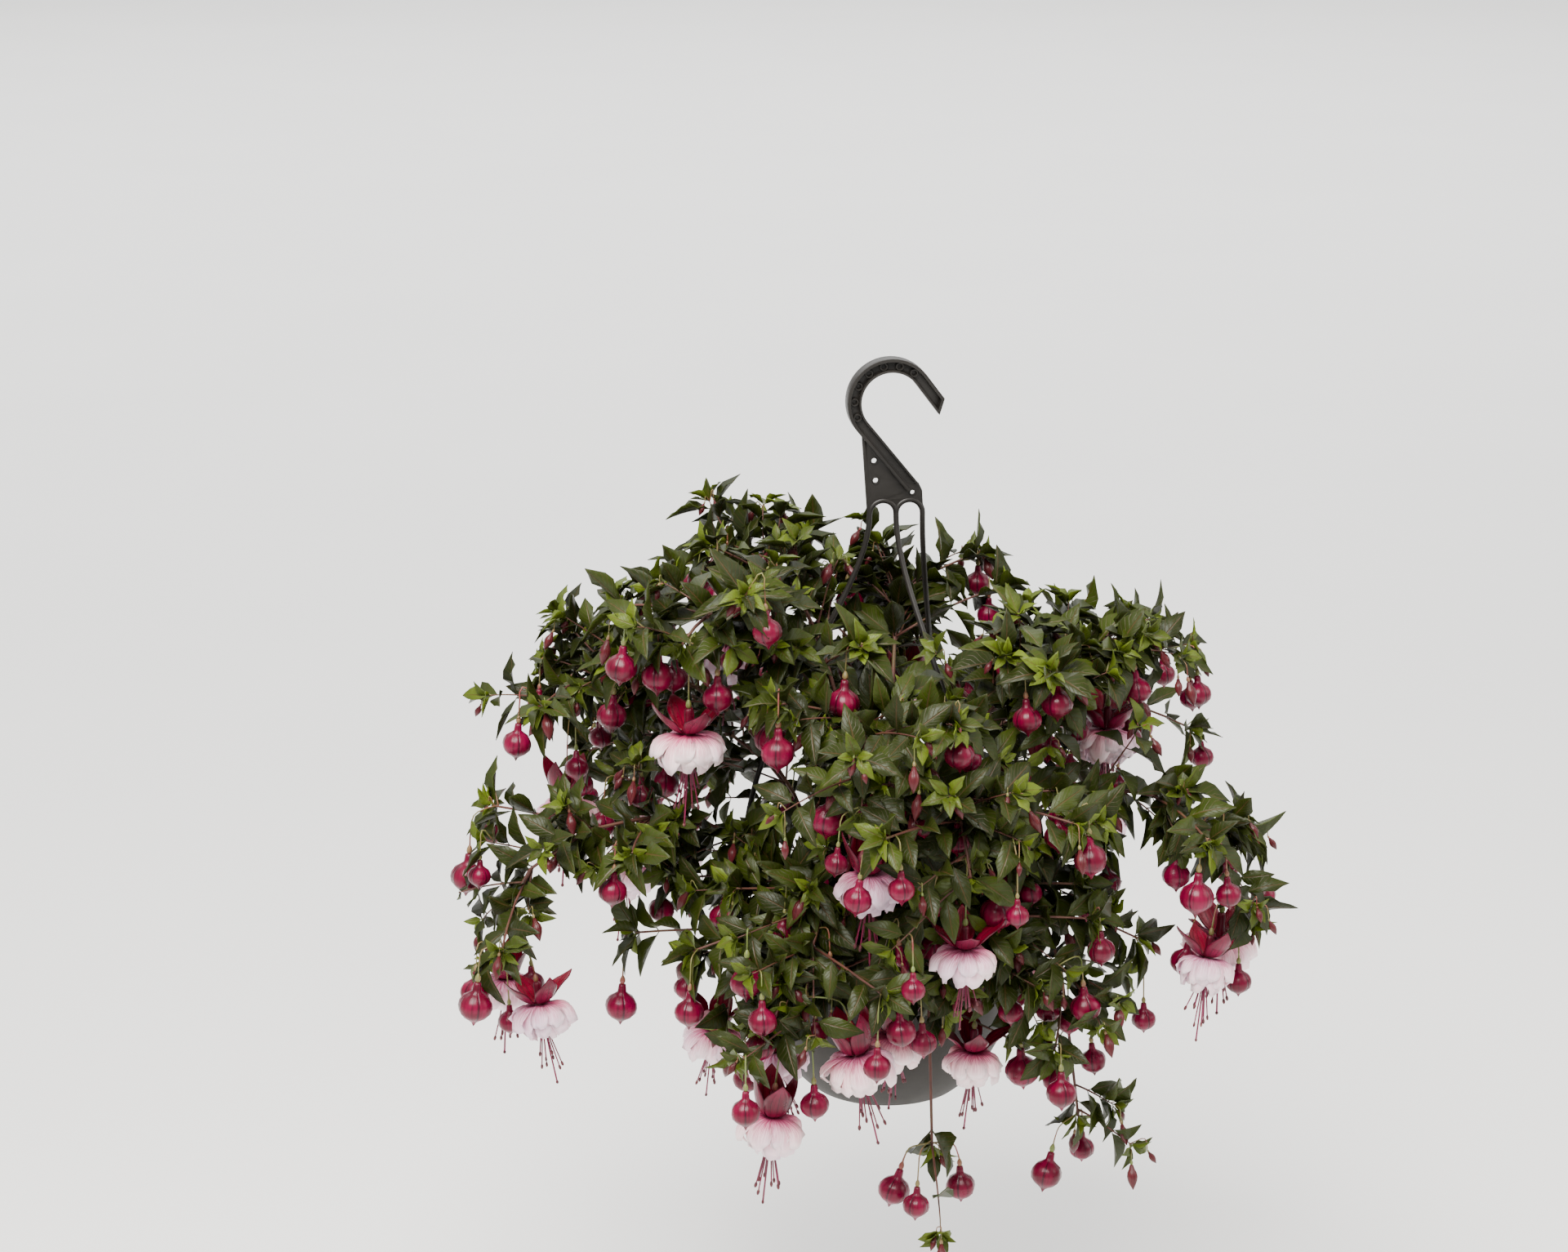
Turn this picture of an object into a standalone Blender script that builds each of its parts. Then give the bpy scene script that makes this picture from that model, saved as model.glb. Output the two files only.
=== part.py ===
"""A fuchsia hanging basket: pot, soil, moulded hanger, leafy shoots, flower sprays and corollas.

Units are metres, +Z is up, and the origin is where a rail carries the hook. The hanger's plate lies in
the XZ plane. Azimuths turn from +X towards +Y, so the front of the basket is at -90 degrees.
"""
import math
import random

import bmesh
import bpy
import numpy as np
from mathutils import Matrix, Vector

# ---------------------------------------------------------------- driving dimensions
GAP = 0.0003                  # clearance between pieces that touch

RIM_Z = -0.510                # top of the pot's lip, below the hook's seat
RIM_R = 0.1255                # outer radius of the lip
POT_HEIGHT = 0.160
POT_WALL = 0.0022
POT_STEPS = 24                # facets round the pot; the hanger's feet sit on their corners
LIP_DEPTH = 0.005
WALL_R = 0.1222               # wall radius under the lip
STEP_DEPTH = 0.052            # the moulded step line in the wall
BASE_R = 0.0705
DRAIN_R = 0.005
DRAIN_CIRCLE = 0.045
SOIL_DEPTH = 0.014            # soil surface below the lip
HOLE_R = 0.0042               # planting holes, square, half a diagonal
HOLE_DEPTH = 0.026

HOOK_INNER_R = 0.027
HOOK_BAND = 0.0125            # radial height of the hook's section
HOOK_DEPTH = 0.015            # front to back
HOOK_WEB = 0.0024
HOOK_START = math.radians(37)   # where the arc ends at the mouth
HOOK_END = math.radians(219)    # where the arc meets the long arm
HOOK_TIP = 0.036              # straight arm at the mouth
HOOK_ARM = 0.073              # straight arm down to the plate
PLATE_THICKNESS = 0.004
ROD_R = 0.0025
ROD_PITCH = 0.024
ROD_FIRST_X = -0.018
ARCH_Z = -0.129               # centre height of the two arches between the rods
FOOT_AZIMUTHS = (180, -60, 60)
FOOT_WIDTH = 0.012

STEM_R = 0.0019                # half widths of the four-sided stems and stalks
LATERAL_R = 0.0012
STALK_R = 0.0008
LEAF_LENGTH = 0.056
LEAF_WIDTH = 0.027
TIP_LEAF_LENGTH = 0.030
TIP_LEAF_WIDTH = 0.013
BLADE = 0.0009                # thickness of leaves
JOINT = 0.005                 # length of a stem's joint, from whose walls leaves and side shoots grow
STEM_MARKS = ((0.20, False), (0.36, True), (0.50, True), (0.64, True), (0.80, True), (1.0, True))
LATERAL_MARKS = ((0.45, False), (1.0, True))
SEPAL_LIFTS = (58, 28)        # two ways that sepals stand, in degrees above the flower's equator
CLEAR = 0.0015                # free space kept between pieces of foliage
LEAF_FORM = ((0.32, 1.0, 0.03), (0.68, 0.74, 0.02))      # along, width and rise of a leaf's stations
TIP_LEAF_FORM = ((0.42, 1.0, 0.03),)

SEPAL_LENGTH = 0.038
SEPAL_WIDTH = 0.0190
MOUTH_Z = -0.030              # end of a flower's tube, below the ovary's top
OVARY_AND_TUBE = ((-0.0060, 0.0022), (MOUTH_Z + 0.004, 0.0041), (MOUTH_Z, 0.0045))
BUD_NECK = ((-0.0080, 0.0022),)
BUD_GLOBE = ((-0.0200, 0.0106), (-0.0300, 0.0136), (-0.0400, 0.0070))
BUD_TIP_Z = -0.0460
YOKE_HALF = 0.0014            # half thickness of the joint that a spray hangs from
YOKE_LENGTH = 0.008

# azimuth, reach and heights of each shoot: the crest and the tip are measured from the pot's lip.
# Then the numbers of open blooms and of fat buds in its spray.
SHOOTS = (
    (195, 0.390, 0.150, 0.020, 2, 2),
    (219, 0.215, 0.090, -0.035, 2, 2),
    (243, 0.252, 0.090, -0.005, 2, 2),
    (264, 0.190, 0.110, 0.010, 1, 2),
    (285, 0.205, 0.085, 0.025, 1, 2),
    (313, 0.215, 0.085, -0.140, 0, 2),
    (332, 0.335, 0.170, 0.040, 2, 2),
    (275, 0.260, 0.200, 0.130, 1, 2),
    (254, 0.230, 0.260, 0.210, 1, 2),
    (211, 0.235, 0.345, 0.305, 1, 2),
    (140, 0.165, 0.340, 0.315, 1, 1),
    (75, 0.140, 0.285, 0.265, 1, 1),
    (351, 0.215, 0.275, 0.245, 2, 2),
    (317, 0.190, 0.275, 0.245, 0, 2),
    (165, 0.300, 0.250, 0.190, 1, 2),
    (38, 0.330, 0.190, 0.090, 1, 2),
    (86, 0.300, 0.210, 0.070, 1, 2),
    (126, 0.340, 0.150, 0.010, 2, 2),
    (273, 0.178, 0.065, -0.150, 0, 2),
)
SPRAY_HOSTS = [i for i, row in enumerate(SHOOTS) if row[4] > 0]

# ---------------------------------------------------------------- scene and materials
for old in list(bpy.data.objects):
    bpy.data.objects.remove(old)

basket = bpy.data.collections.new("fuchsia_hanging_basket")
cutters = bpy.data.collections.new("cutters")
bpy.context.scene.collection.children.link(basket)
bpy.context.scene.collection.children.link(cutters)


def material(name, colour, roughness):
    """A plain Principled material, for one kind of piece."""
    made = bpy.data.materials.new(name)
    made.use_nodes = True
    shader = made.node_tree.nodes["Principled BSDF"]
    shader.inputs["Base Color"].default_value = (*colour, 1.0)
    shader.inputs["Roughness"].default_value = roughness
    return made


POT_PLASTIC = material("pot_plastic", (0.060, 0.055, 0.052), 0.55)
HANGER_PLASTIC = material("hanger_plastic", (0.032, 0.029, 0.027), 0.42)
SOIL = material("soil", (0.030, 0.020, 0.014), 0.95)
LEAF = material("leaf", (0.060, 0.125, 0.040), 0.45)
SEPAL = material("sepal", (0.420, 0.010, 0.060), 0.40)
PETAL = material("petal", (0.800, 0.560, 0.660), 0.55)


# ---------------------------------------------------------------- modelling helpers
def new_object(name, mesh, surface, collection):
    made = bpy.data.objects.new(name, mesh)
    collection.objects.link(made)
    if surface:
        mesh.materials.clear()
        mesh.materials.append(surface)
    return made


def as_mesh(source, name):
    """Turn an evaluated object into a mesh with welded caps, and remove the source."""
    bpy.context.view_layer.update()
    evaluated = source.evaluated_get(bpy.context.evaluated_depsgraph_get())
    mesh = bpy.data.meshes.new_from_object(evaluated)
    mesh.transform(source.matrix_world)
    mesh.name = name
    bpy.data.objects.remove(source)
    bm = bmesh.new()
    bm.from_mesh(mesh)
    bmesh.ops.remove_doubles(bm, verts=bm.verts, dist=1e-6)
    bm.to_mesh(mesh)
    bm.free()
    return mesh


def tube(name, points, radii, sides_level=0):
    """A round bar through the points, with a radius at each: 4 sides at level 0, 6 at level 1."""
    curve = bpy.data.curves.new(name, "CURVE")
    curve.dimensions = "3D"
    curve.bevel_depth = 1.0
    curve.bevel_resolution = sides_level
    curve.use_fill_caps = True
    spline = curve.splines.new("POLY")
    spline.points.add(len(points) - 1)
    for node, point, radius in zip(spline.points, points, radii):
        node.co = (*point, 1.0)
        node.radius = radius
    return as_mesh(new_object(name, curve, None, cutters), name)


def flat(name, outline, thickness, y=0.0):
    """A flat outline in the XZ plane, as thick as given and centred on y."""
    curve = bpy.data.curves.new(name, "CURVE")
    curve.dimensions = "2D"
    curve.fill_mode = "BOTH"
    curve.extrude = thickness / 2
    spline = curve.splines.new("POLY")
    spline.points.add(len(outline) - 1)
    for node, (x, z) in zip(spline.points, outline):
        node.co = (x, z, 0.0, 1.0)
    spline.use_cyclic_u = True
    source = new_object(name, curve, None, cutters)
    source.location = (0.0, y, 0.0)
    source.rotation_euler = (math.pi / 2, 0.0, 0.0)
    return as_mesh(source, name)


def turned(name, profile, steps):
    """A profile of (radius, height) points, turned round the Z axis by a Screw modifier."""
    mesh = bpy.data.meshes.new(name)
    last = len(profile) - 1
    mesh.from_pydata([(r, 0.0, z) for r, z in profile], [(i, i + 1) for i in range(last)], [])
    source = new_object(name, mesh, None, cutters)
    screw = source.modifiers.new("turn", "SCREW")
    screw.steps = steps
    screw.render_steps = steps
    screw.use_merge_vertices = True
    screw.merge_threshold = 0.00001
    return as_mesh(source, name)


def combine(name, base, pieces, surface, operation="UNION", solver="MANIFOLD"):
    """Join or cut a base mesh with many pieces in one Boolean on a collection, then drop the pieces."""
    made = new_object(name, base, surface, basket)
    if not pieces:
        return made
    group = bpy.data.collections.new(name + "_pieces")
    cutters.children.link(group)
    for piece in pieces:
        new_object(piece.name, piece, surface, group)
    boolean = made.modifiers.new("join", "BOOLEAN")
    boolean.operation = operation
    boolean.operand_type = "COLLECTION"
    boolean.collection = group
    boolean.solver = solver
    bpy.context.view_layer.update()
    evaluated = made.evaluated_get(bpy.context.evaluated_depsgraph_get())
    joined = bpy.data.meshes.new_from_object(evaluated)
    joined.name = name
    made.modifiers.clear()
    made.data = joined
    joined.materials.clear()
    joined.materials.append(surface)
    for piece in list(group.objects):
        bpy.data.objects.remove(piece)
    bpy.data.collections.remove(group)
    return made


def weld(made):
    """Merge the near-double corners that a Boolean leaves."""
    bm = bmesh.new()
    bm.from_mesh(made.data)
    bmesh.ops.remove_doubles(bm, verts=bm.verts, dist=2e-6)
    bmesh.ops.dissolve_degenerate(bm, edges=bm.edges, dist=2e-6)
    bm.to_mesh(made.data)
    bm.free()


def smooth(made, degrees):
    made.data.shade_smooth()
    made.data.set_sharp_from_angle(angle=math.radians(degrees))


# ---------------------------------------------------------------- pot
def bowl_arc(inset, count):
    """The wall below the step line: a quarter ellipse that ends at the base's edge."""
    top_r = WALL_R - 0.0018 - inset
    top_z = RIM_Z - STEP_DEPTH
    fall = POT_HEIGHT - STEP_DEPTH - inset
    stretch = fall / math.sqrt(1 - ((BASE_R - inset * 0.6) / top_r) ** 2)
    points = []
    for i in range(count + 1):
        drop = fall * math.sin(math.pi / 2 * i / count)
        points.append((top_r * math.sqrt(1 - (drop / stretch) ** 2), top_z - drop))
    return points


def make_pot():
    outer = [(WALL_R - POT_WALL, RIM_Z), (RIM_R, RIM_Z), (RIM_R, RIM_Z - LIP_DEPTH), (WALL_R, RIM_Z - LIP_DEPTH),
             (WALL_R - 0.0010, RIM_Z - STEP_DEPTH)]
    outer += bowl_arc(0.0, 5) + [(0.0, RIM_Z - POT_HEIGHT)]
    inner = [(0.0, RIM_Z - POT_HEIGHT + POT_WALL)] + list(reversed(bowl_arc(POT_WALL, 3)))
    profile = outer + inner + [outer[0]]
    shell = turned("pot_shell", profile, POT_STEPS)
    drains = []
    for i in range(4):
        angle = math.radians(45 + 90 * i)
        spot = Vector((DRAIN_CIRCLE * math.cos(angle), DRAIN_CIRCLE * math.sin(angle), RIM_Z - POT_HEIGHT))
        drains.append(tube("drain", [spot - Vector((0, 0, 0.01)), spot + Vector((0, 0, 0.01))], [DRAIN_R] * 2, 1))
    pot = combine("pot", shell, drains, POT_PLASTIC, "DIFFERENCE", "EXACT")
    smooth(pot, 40)


def stem_foot(row):
    """Where a shoot stands in the soil: flat shoots stand further out than steep ones."""
    azimuth, reach, crest = row[:3]
    radius = min(0.062, max(0.020, 0.074 - 0.032 * crest / reach))
    angle = math.radians(azimuth)
    return Vector((radius * math.cos(angle), radius * math.sin(angle), RIM_Z - SOIL_DEPTH))


def make_soil():
    margin = POT_WALL + GAP + 0.0002
    side = bowl_arc(margin, 3)
    top = RIM_Z - SOIL_DEPTH
    profile = [(0.0, top), (WALL_R - margin - 0.0006, top)] + side + [(0.0, side[-1][1])]
    plug = turned("soil_plug", profile, POT_STEPS)
    holes = []
    for row in SHOOTS:
        spot = stem_foot(row)
        below = spot - Vector((0, 0, HOLE_DEPTH))
        above = spot + Vector((0, 0, 0.01))
        holes.append(tube("planting_hole", [below, above], [HOLE_R] * 2))
    combine("soil", plug, holes, SOIL, "DIFFERENCE", "EXACT")


# ---------------------------------------------------------------- hanger
def arc(centre, radius, start, end, count):
    step = (end - start) / count
    return [(centre[0] + radius * math.cos(start + step * i), centre[1] + radius * math.sin(start + step * i))
            for i in range(count + 1)]


def bezier(controls, count):
    """Points along a cubic Bezier curve."""
    a, b, c, d = (Vector(point) for point in controls)
    points = []
    for i in range(count + 1):
        t = i / count
        s = 1 - t
        points.append(a * s ** 3 + b * (3 * s * s * t) + c * (3 * s * t * t) + d * t ** 3)
    return points


def rod_path(index, count):
    """One rod, from its arch down to its foot on the lip."""
    angle = math.radians(FOOT_AZIMUTHS[index])
    out = Vector((math.cos(angle), math.sin(angle), 0.0))
    top = Vector((ROD_FIRST_X + ROD_PITCH * index, 0.0, ARCH_Z))
    end = out * (RIM_R + 0.0020)
    end.z = RIM_Z + 0.0035
    swell = out * (RIM_R + 0.035)
    swell.z = RIM_Z + 0.175
    return bezier((top, top - Vector((0, 0, 0.090)), swell, end), count)


def hook_line(radius, start_run, end_run):
    """A line at one radius of the hook: straight arm, arc over the top, straight arm to the mouth."""
    centre = (0.0, -HOOK_INNER_R)
    points = arc(centre, radius, HOOK_END, HOOK_START, 9)
    down = (-math.sin(HOOK_END), math.cos(HOOK_END))
    mouth = (math.sin(HOOK_START), -math.cos(HOOK_START))
    first = (points[0][0] + down[0] * start_run, points[0][1] + down[1] * start_run)
    last = (points[-1][0] + mouth[0] * end_run, points[-1][1] + mouth[1] * end_run)
    return [first] + points + [last]


def make_hanger():
    inner = HOOK_INNER_R
    outer = HOOK_INNER_R + HOOK_BAND
    outline = hook_line(outer, HOOK_ARM, HOOK_TIP - 0.009) + list(reversed(hook_line(inner, HOOK_ARM, HOOK_TIP)))
    band = flat("band", outline, HOOK_DEPTH)
    groove = hook_line(outer - 0.0034, HOOK_ARM - 0.006, HOOK_TIP - 0.012)
    groove += list(reversed(hook_line(inner + 0.0018, HOOK_ARM - 0.004, HOOK_TIP - 0.006)))
    groove_depth = (HOOK_DEPTH - HOOK_WEB) / 2
    cuts = [flat("groove", groove, groove_depth + 0.002, side * (HOOK_WEB + groove_depth + 0.002) / 2)
            for side in (-1, 1)]
    notch = flat("seat_notch", [(-0.004, -0.001), (-0.002, 0.0016), (0.002, 0.0016), (0.004, -0.001)], 0.02)
    hook = combine("hook", band, cuts + [notch], HANGER_PLASTIC, "DIFFERENCE", "EXACT")
    first, second, third = (ROD_FIRST_X + ROD_PITCH * i for i in range(3))
    half = ROD_PITCH / 2
    plate = [(-0.0245, -0.055), (first - 0.001, ARCH_Z)]
    plate += arc((first + half, ARCH_Z), half, math.pi, 0.0, 6)
    plate += arc((second + half, ARCH_Z), half, math.pi, 0.0, 6)[1:]
    plate += [(third + 0.0008, ARCH_Z), (third - 0.001, -0.101), (0.016, -0.102), (-0.0245, -0.052)]
    plate_mesh = flat("plate", plate, PLATE_THICKNESS)
    eyelets = []
    for x, z in ((-0.0145, -0.080), (-0.0130, -0.098), (0.0175, -0.1065)):
        eyelets.append(tube("eyelet", [(x, -0.01, z), (x, 0.01, z)], [0.0028] * 2, 1))
    plate_object = combine("plate", plate_mesh, eyelets, HANGER_PLASTIC, "DIFFERENCE", "EXACT")
    bars = []
    arch = [Vector((x, 0.0, z)) for x, z in arc((first + half, ARCH_Z), half, math.pi, 0.0, 5)]
    left = list(reversed(rod_path(0, 7))) + arch[1:]
    arch = [Vector((x, 0.0, z)) for x, z in arc((second + half, ARCH_Z), half, 0.0, math.pi, 5)]
    right = list(reversed(rod_path(2, 7))) + arch[1:]
    middle = rod_path(1, 7)
    middle[0] = middle[0] + Vector((0, 0, 0.001))
    for name, path in (("rod_left", left), ("rod_right", right), ("rod_middle", middle)):
        bars.append(tube(name, path, [ROD_R] * len(path), 1))
    lug = WALL_R - POT_WALL - 0.0012
    foot = [(lug - 0.002, RIM_Z + 0.0065), (RIM_R + 0.0035, RIM_Z + 0.0065),
            (RIM_R + 0.0035, RIM_Z - LIP_DEPTH - 0.003), (WALL_R + 0.0006, RIM_Z - LIP_DEPTH - 0.003),
            (WALL_R + 0.0006, RIM_Z - LIP_DEPTH - GAP), (RIM_R + 0.0005, RIM_Z - LIP_DEPTH - GAP),
            (RIM_R + 0.0005, RIM_Z + GAP), (lug, RIM_Z + GAP), (lug, RIM_Z - LIP_DEPTH), (lug - 0.002, RIM_Z - LIP_DEPTH)]
    for azimuth in FOOT_AZIMUTHS:
        piece = flat("foot", foot, FOOT_WIDTH)
        piece.transform(Matrix.Rotation(math.radians(azimuth), 4, "Z"))
        bars.append(piece)
    plate_piece = plate_object.data
    bpy.data.objects.remove(plate_object)
    hook_piece = hook.data
    bpy.data.objects.remove(hook)
    hanger = combine("hanger", hook_piece, [plate_piece] + bars, HANGER_PLASTIC)
    weld(hanger)
    smooth(hanger, 35)


# ---------------------------------------------------------------- growing shapes out of faces
def advance(bm, face, station):
    """Extrude a four-cornered face to its next station: a centre with two half axes."""
    centre, half_x, half_y = station
    face.normal_update()
    if face.normal.dot(half_x.cross(half_y)) < 0:
        half_y = -half_y
    targets = [half_x + half_y, half_y - half_x, -half_x - half_y, half_x - half_y]
    face = bmesh.ops.extrude_discrete_faces(bm, faces=[face])["faces"][0]
    middle = face.calc_center_median()
    arms = [vert.co - middle for vert in face.verts]
    fits = [sum(arm.normalized().dot(targets[(k + shift) % 4].normalized()) for k, arm in enumerate(arms))
            for shift in range(4)]
    shift = fits.index(max(fits))
    for k, vert in enumerate(face.verts):
        vert.co = centre + targets[(k + shift) % 4]
    face.normal_update()
    return face


def point(bm, face, tip):
    """Close a face with a point."""
    bmesh.ops.poke(bm, faces=[face])["verts"][0].co = tip


def side_face(face, direction):
    """The wall behind an extruded face that looks in a direction."""
    walls = [other for edge in face.edges for other in edge.link_faces if other is not face]
    for wall in walls:
        wall.normal_update()
    return max(walls, key=lambda wall: wall.normal.dot(direction))


def bar(bm, start, end, half_x, half_y):
    """A four-sided bar between two points; its end face comes back."""
    along = end - start
    if half_x.cross(half_y).dot(along) < 0:
        half_y = -half_y
    turn = Matrix((half_x.normalized(), half_y.normalized(), along.normalized())).transposed().to_4x4()
    size = Matrix.Diagonal((2 * half_x.length, 2 * half_y.length, along.length, 1.0))
    made = bmesh.ops.create_cube(bm, size=1.0, matrix=Matrix.Translation((start + end) / 2) @ turn @ size)
    faces = {face for vert in made["verts"] for face in vert.link_faces}
    for face in faces:
        face.normal_update()
    return max(faces, key=lambda face: face.normal.dot(along))


def grow_line(bm, face, line, first):
    """A stem or side shoot from one station on; its joints' side walls come back by rank and hand."""
    walls = {}
    for rank in range(first, len(line.points)):
        _, across, up = line.frame(rank)
        half = line.halves[rank]
        face = advance(bm, face, (line.points[rank], across * half, up * half))
        if line.joints[rank]:
            for hand in (-1, 1):
                walls[rank, hand] = side_face(face, line.side * hand)
    return face, walls


def grow_leaf(bm, face, leaf):
    """A leaf out of a face: widest before its middle, a little arched, and drawn out to its tip."""
    x, y, z = (leaf.place.col[k].xyz.normalized() for k in range(3))
    root = leaf.place.translation
    for along, wide, rise in leaf.stations:
        centre = root + x * (leaf.length * along) + z * (leaf.length * rise)
        face = advance(bm, face, (centre, y * (leaf.width * wide / 2), z * (BLADE / 2)))
    point(bm, face, root + x * leaf.length - z * (leaf.length * 0.08))


def local_station(place, z, half):
    """A square station on a flower's axis."""
    size = place.to_scale().x
    x = place.col[0].xyz.normalized()
    y = place.col[1].xyz.normalized()
    return place @ Vector((0, 0, z)), x * (half * size), y * (half * size)


def grow_stalk(bm, face, points, place):
    """A stalk out of its joint, along its points, ending square to the flower's axis."""
    x = place.col[0].xyz.normalized()
    for before, here, after in zip(points, points[1:-1], points[2:]):
        along = (after - before).normalized()
        across = (x - along * x.dot(along)).normalized()
        face = advance(bm, face, (here, across * STALK_R, along.cross(across) * STALK_R))
    return advance(bm, face, local_station(place, 0.0, STALK_R * 1.1))


def grow_sepal(bm, face, place, out, lift):
    """A sepal out of the tube's rim, thrown out and up to its point."""
    up = place.col[2].xyz.normalized()
    side = up.cross(out).normalized()
    size = place.to_scale().x
    leaning = math.radians(lift)
    along = (out * math.cos(leaning) + up * math.sin(leaning)).normalized()
    centre = face.calc_center_median() + (out * 0.010 + up * 0.009 * math.sin(leaning)) * size
    face = advance(bm, face, (centre, side * (SEPAL_WIDTH / 2 * size), side.cross(along) * 0.0008))
    point(bm, face, centre + along * (SEPAL_LENGTH * 0.70 * size))


def grow_calyx(bm, face, place, lift):
    """Ovary, tube and four sepals at the end of a stalk."""
    for z, half in OVARY_AND_TUBE:
        face = advance(bm, face, local_station(place, z, half))
    x = place.col[0].xyz.normalized()
    y = place.col[1].xyz.normalized()
    walls = [(out, side_face(face, out)) for out in (x, y, -x, -y)]
    for out, wall in walls:
        grow_sepal(bm, wall, place, out, lift)


def grow_bud(bm, face, place):
    """A fat bud at the end of a stalk: a short neck, then an eight-sided globe with a pointed tip."""
    for z, half in BUD_NECK:
        face = advance(bm, face, local_station(place, z, half))
    size = place.to_scale().x
    axis = place.col[2].xyz.normalized()
    for rank, (z, radius) in enumerate(BUD_GLOBE):
        face = bmesh.ops.extrude_discrete_faces(bm, faces=[face])["faces"][0]
        if rank == 0:
            bmesh.ops.bisect_edges(bm, edges=list(face.edges), cuts=1)
        middle = face.calc_center_median()
        centre = place @ Vector((0, 0, z))
        for vert in face.verts:
            arm = vert.co - middle
            arm = (arm - axis * arm.dot(axis)).normalized()
            vert.co = centre + arm * (radius * size)
    point(bm, face, place @ Vector((0, 0, BUD_TIP_Z)))


def finish(bm, name):
    bmesh.ops.recalc_face_normals(bm, faces=bm.faces)
    mesh = bpy.data.meshes.new(name)
    bm.to_mesh(mesh)
    bm.free()
    return mesh


# ---------------------------------------------------------------- corollas
COROLLA_TOP = MOUTH_Z - GAP


def walls_between(bm, low, high, first):
    """Every other side face of the core whose middle lies between two heights, round the axis."""
    bm.normal_update()
    middles = [(face, face.calc_center_median()) for face in bm.faces if abs(face.normal.z) < 0.95]
    found = [pair for pair in middles if low < pair[1].z < high and pair[1].xy.length > 0.003]
    found.sort(key=lambda pair: math.atan2(pair[1].y, pair[1].x))
    return [face for face, middle in found][first::2]


def grow_petal(bm, face, stations):
    """A petal out of the core: each station is its distance out, height and width."""
    middle = face.calc_center_median()
    out = Vector((middle.x, middle.y, 0.0)).normalized()
    side = Vector((0, 0, 1)).cross(out)
    last = middle
    for distance, height, width in stations:
        centre = out * distance + Vector((0, 0, height))
        across = side.cross((centre - last).normalized()) * -1
        across = -across if across.z < 0 else across
        face = advance(bm, face, (centre, side * (width / 2), across * 0.0006))
        last = centre


def corolla_master(name, flare):
    """Four broad outer petals over four inner ones on a short core, with stamens and the long style."""
    bm = bmesh.new()
    depth = 0.006
    bmesh.ops.create_cone(bm, cap_ends=True, segments=8, radius1=0.0078, radius2=0.0052, depth=depth,
                          matrix=Matrix.Translation((0, 0, COROLLA_TOP - depth / 2)))
    bm.faces.ensure_lookup_table()
    cap = min(bm.faces, key=lambda face: face.calc_center_median().z)
    cap = bmesh.ops.extrude_discrete_faces(bm, faces=[cap])["faces"][0]
    for vert in cap.verts:
        vert.co.x *= 0.62
        vert.co.y *= 0.62
        vert.co.z = COROLLA_TOP - 0.018
    bmesh.ops.poke(bm, faces=[cap])
    bm.normal_update()
    spokes = [face for face in bm.faces if face.normal.z < -0.98]
    spokes.sort(key=lambda face: math.atan2(face.calc_center_median().y, face.calc_center_median().x))
    for spoke, out, length, radius in ((spokes[0], 0.006, 0.072, 0.0010), (spokes[3], 0.009, 0.052, 0.0009),
                                       (spokes[5], 0.010, 0.056, 0.0009)):
        middle = spoke.calc_center_median()
        end = Vector((middle.x, middle.y, 0.0)).normalized() * out + Vector((0, 0, MOUTH_Z - length))
        face = bmesh.ops.extrude_discrete_faces(bm, faces=[spoke])["faces"][0]
        arms = [(vert, (vert.co - middle).normalized()) for vert in face.verts]
        for vert, arm in arms:
            vert.co = end + arm * radius
    outer = walls_between(bm, COROLLA_TOP - 0.006, COROLLA_TOP, 0)
    inner = walls_between(bm, COROLLA_TOP - 0.018, COROLLA_TOP - 0.006, 1)
    for face in outer:
        grow_petal(bm, face, [(0.0175, COROLLA_TOP - 0.0085, 0.0250), (0.0250 * flare, COROLLA_TOP - 0.0270, 0.0270)])
    for face in inner:
        grow_petal(bm, face, [(0.0145 * flare, COROLLA_TOP - 0.0320, 0.0230)])
    return finish(bm, name)


# ---------------------------------------------------------------- layout of the plant
class Space:
    """What already stands in the basket, as balls with an owner, so that new pieces keep clear."""

    def __init__(self):
        self.centres = np.zeros((0, 3))
        self.radii = np.zeros(0)
        self.owners = []

    def add(self, balls, owner):
        self.centres = np.vstack([self.centres] + [np.array(centre)[None, :] for centre, _ in balls])
        self.radii = np.append(self.radii, [radius for _, radius in balls])
        self.owners += [owner] * len(balls)

    def free(self, balls, own):
        """True if the balls stay out of the pot and off every ball of another owner."""
        others = np.array([owner not in own for owner in self.owners])
        centres = self.centres[others]
        radii = self.radii[others]
        for centre, radius in balls:
            low = centre[2] - radius
            span = math.hypot(centre[0], centre[1])
            if low < RIM_Z + 0.009 and span - radius < RIM_R + 0.005:
                return False
            if low < RIM_Z - POT_HEIGHT - 0.05 and span - radius < RIM_R + 0.005:
                return False
            distance = np.linalg.norm(centres - np.array(centre), axis=1)
            if np.any(distance < radii + radius + CLEAR):
                return False
        return True


def balls_along(points, radius, spacing):
    """Balls along a polyline."""
    found = []
    for a, b in zip(points, points[1:]):
        count = max(1, math.ceil((b - a).length / spacing))
        found += [(a.lerp(b, i / count), radius) for i in range(count)]
    found.append((points[-1], radius))
    return found


def direction_at(points, index):
    return (points[min(index + 1, len(points) - 1)] - points[max(index - 1, 0)]).normalized()


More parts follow.
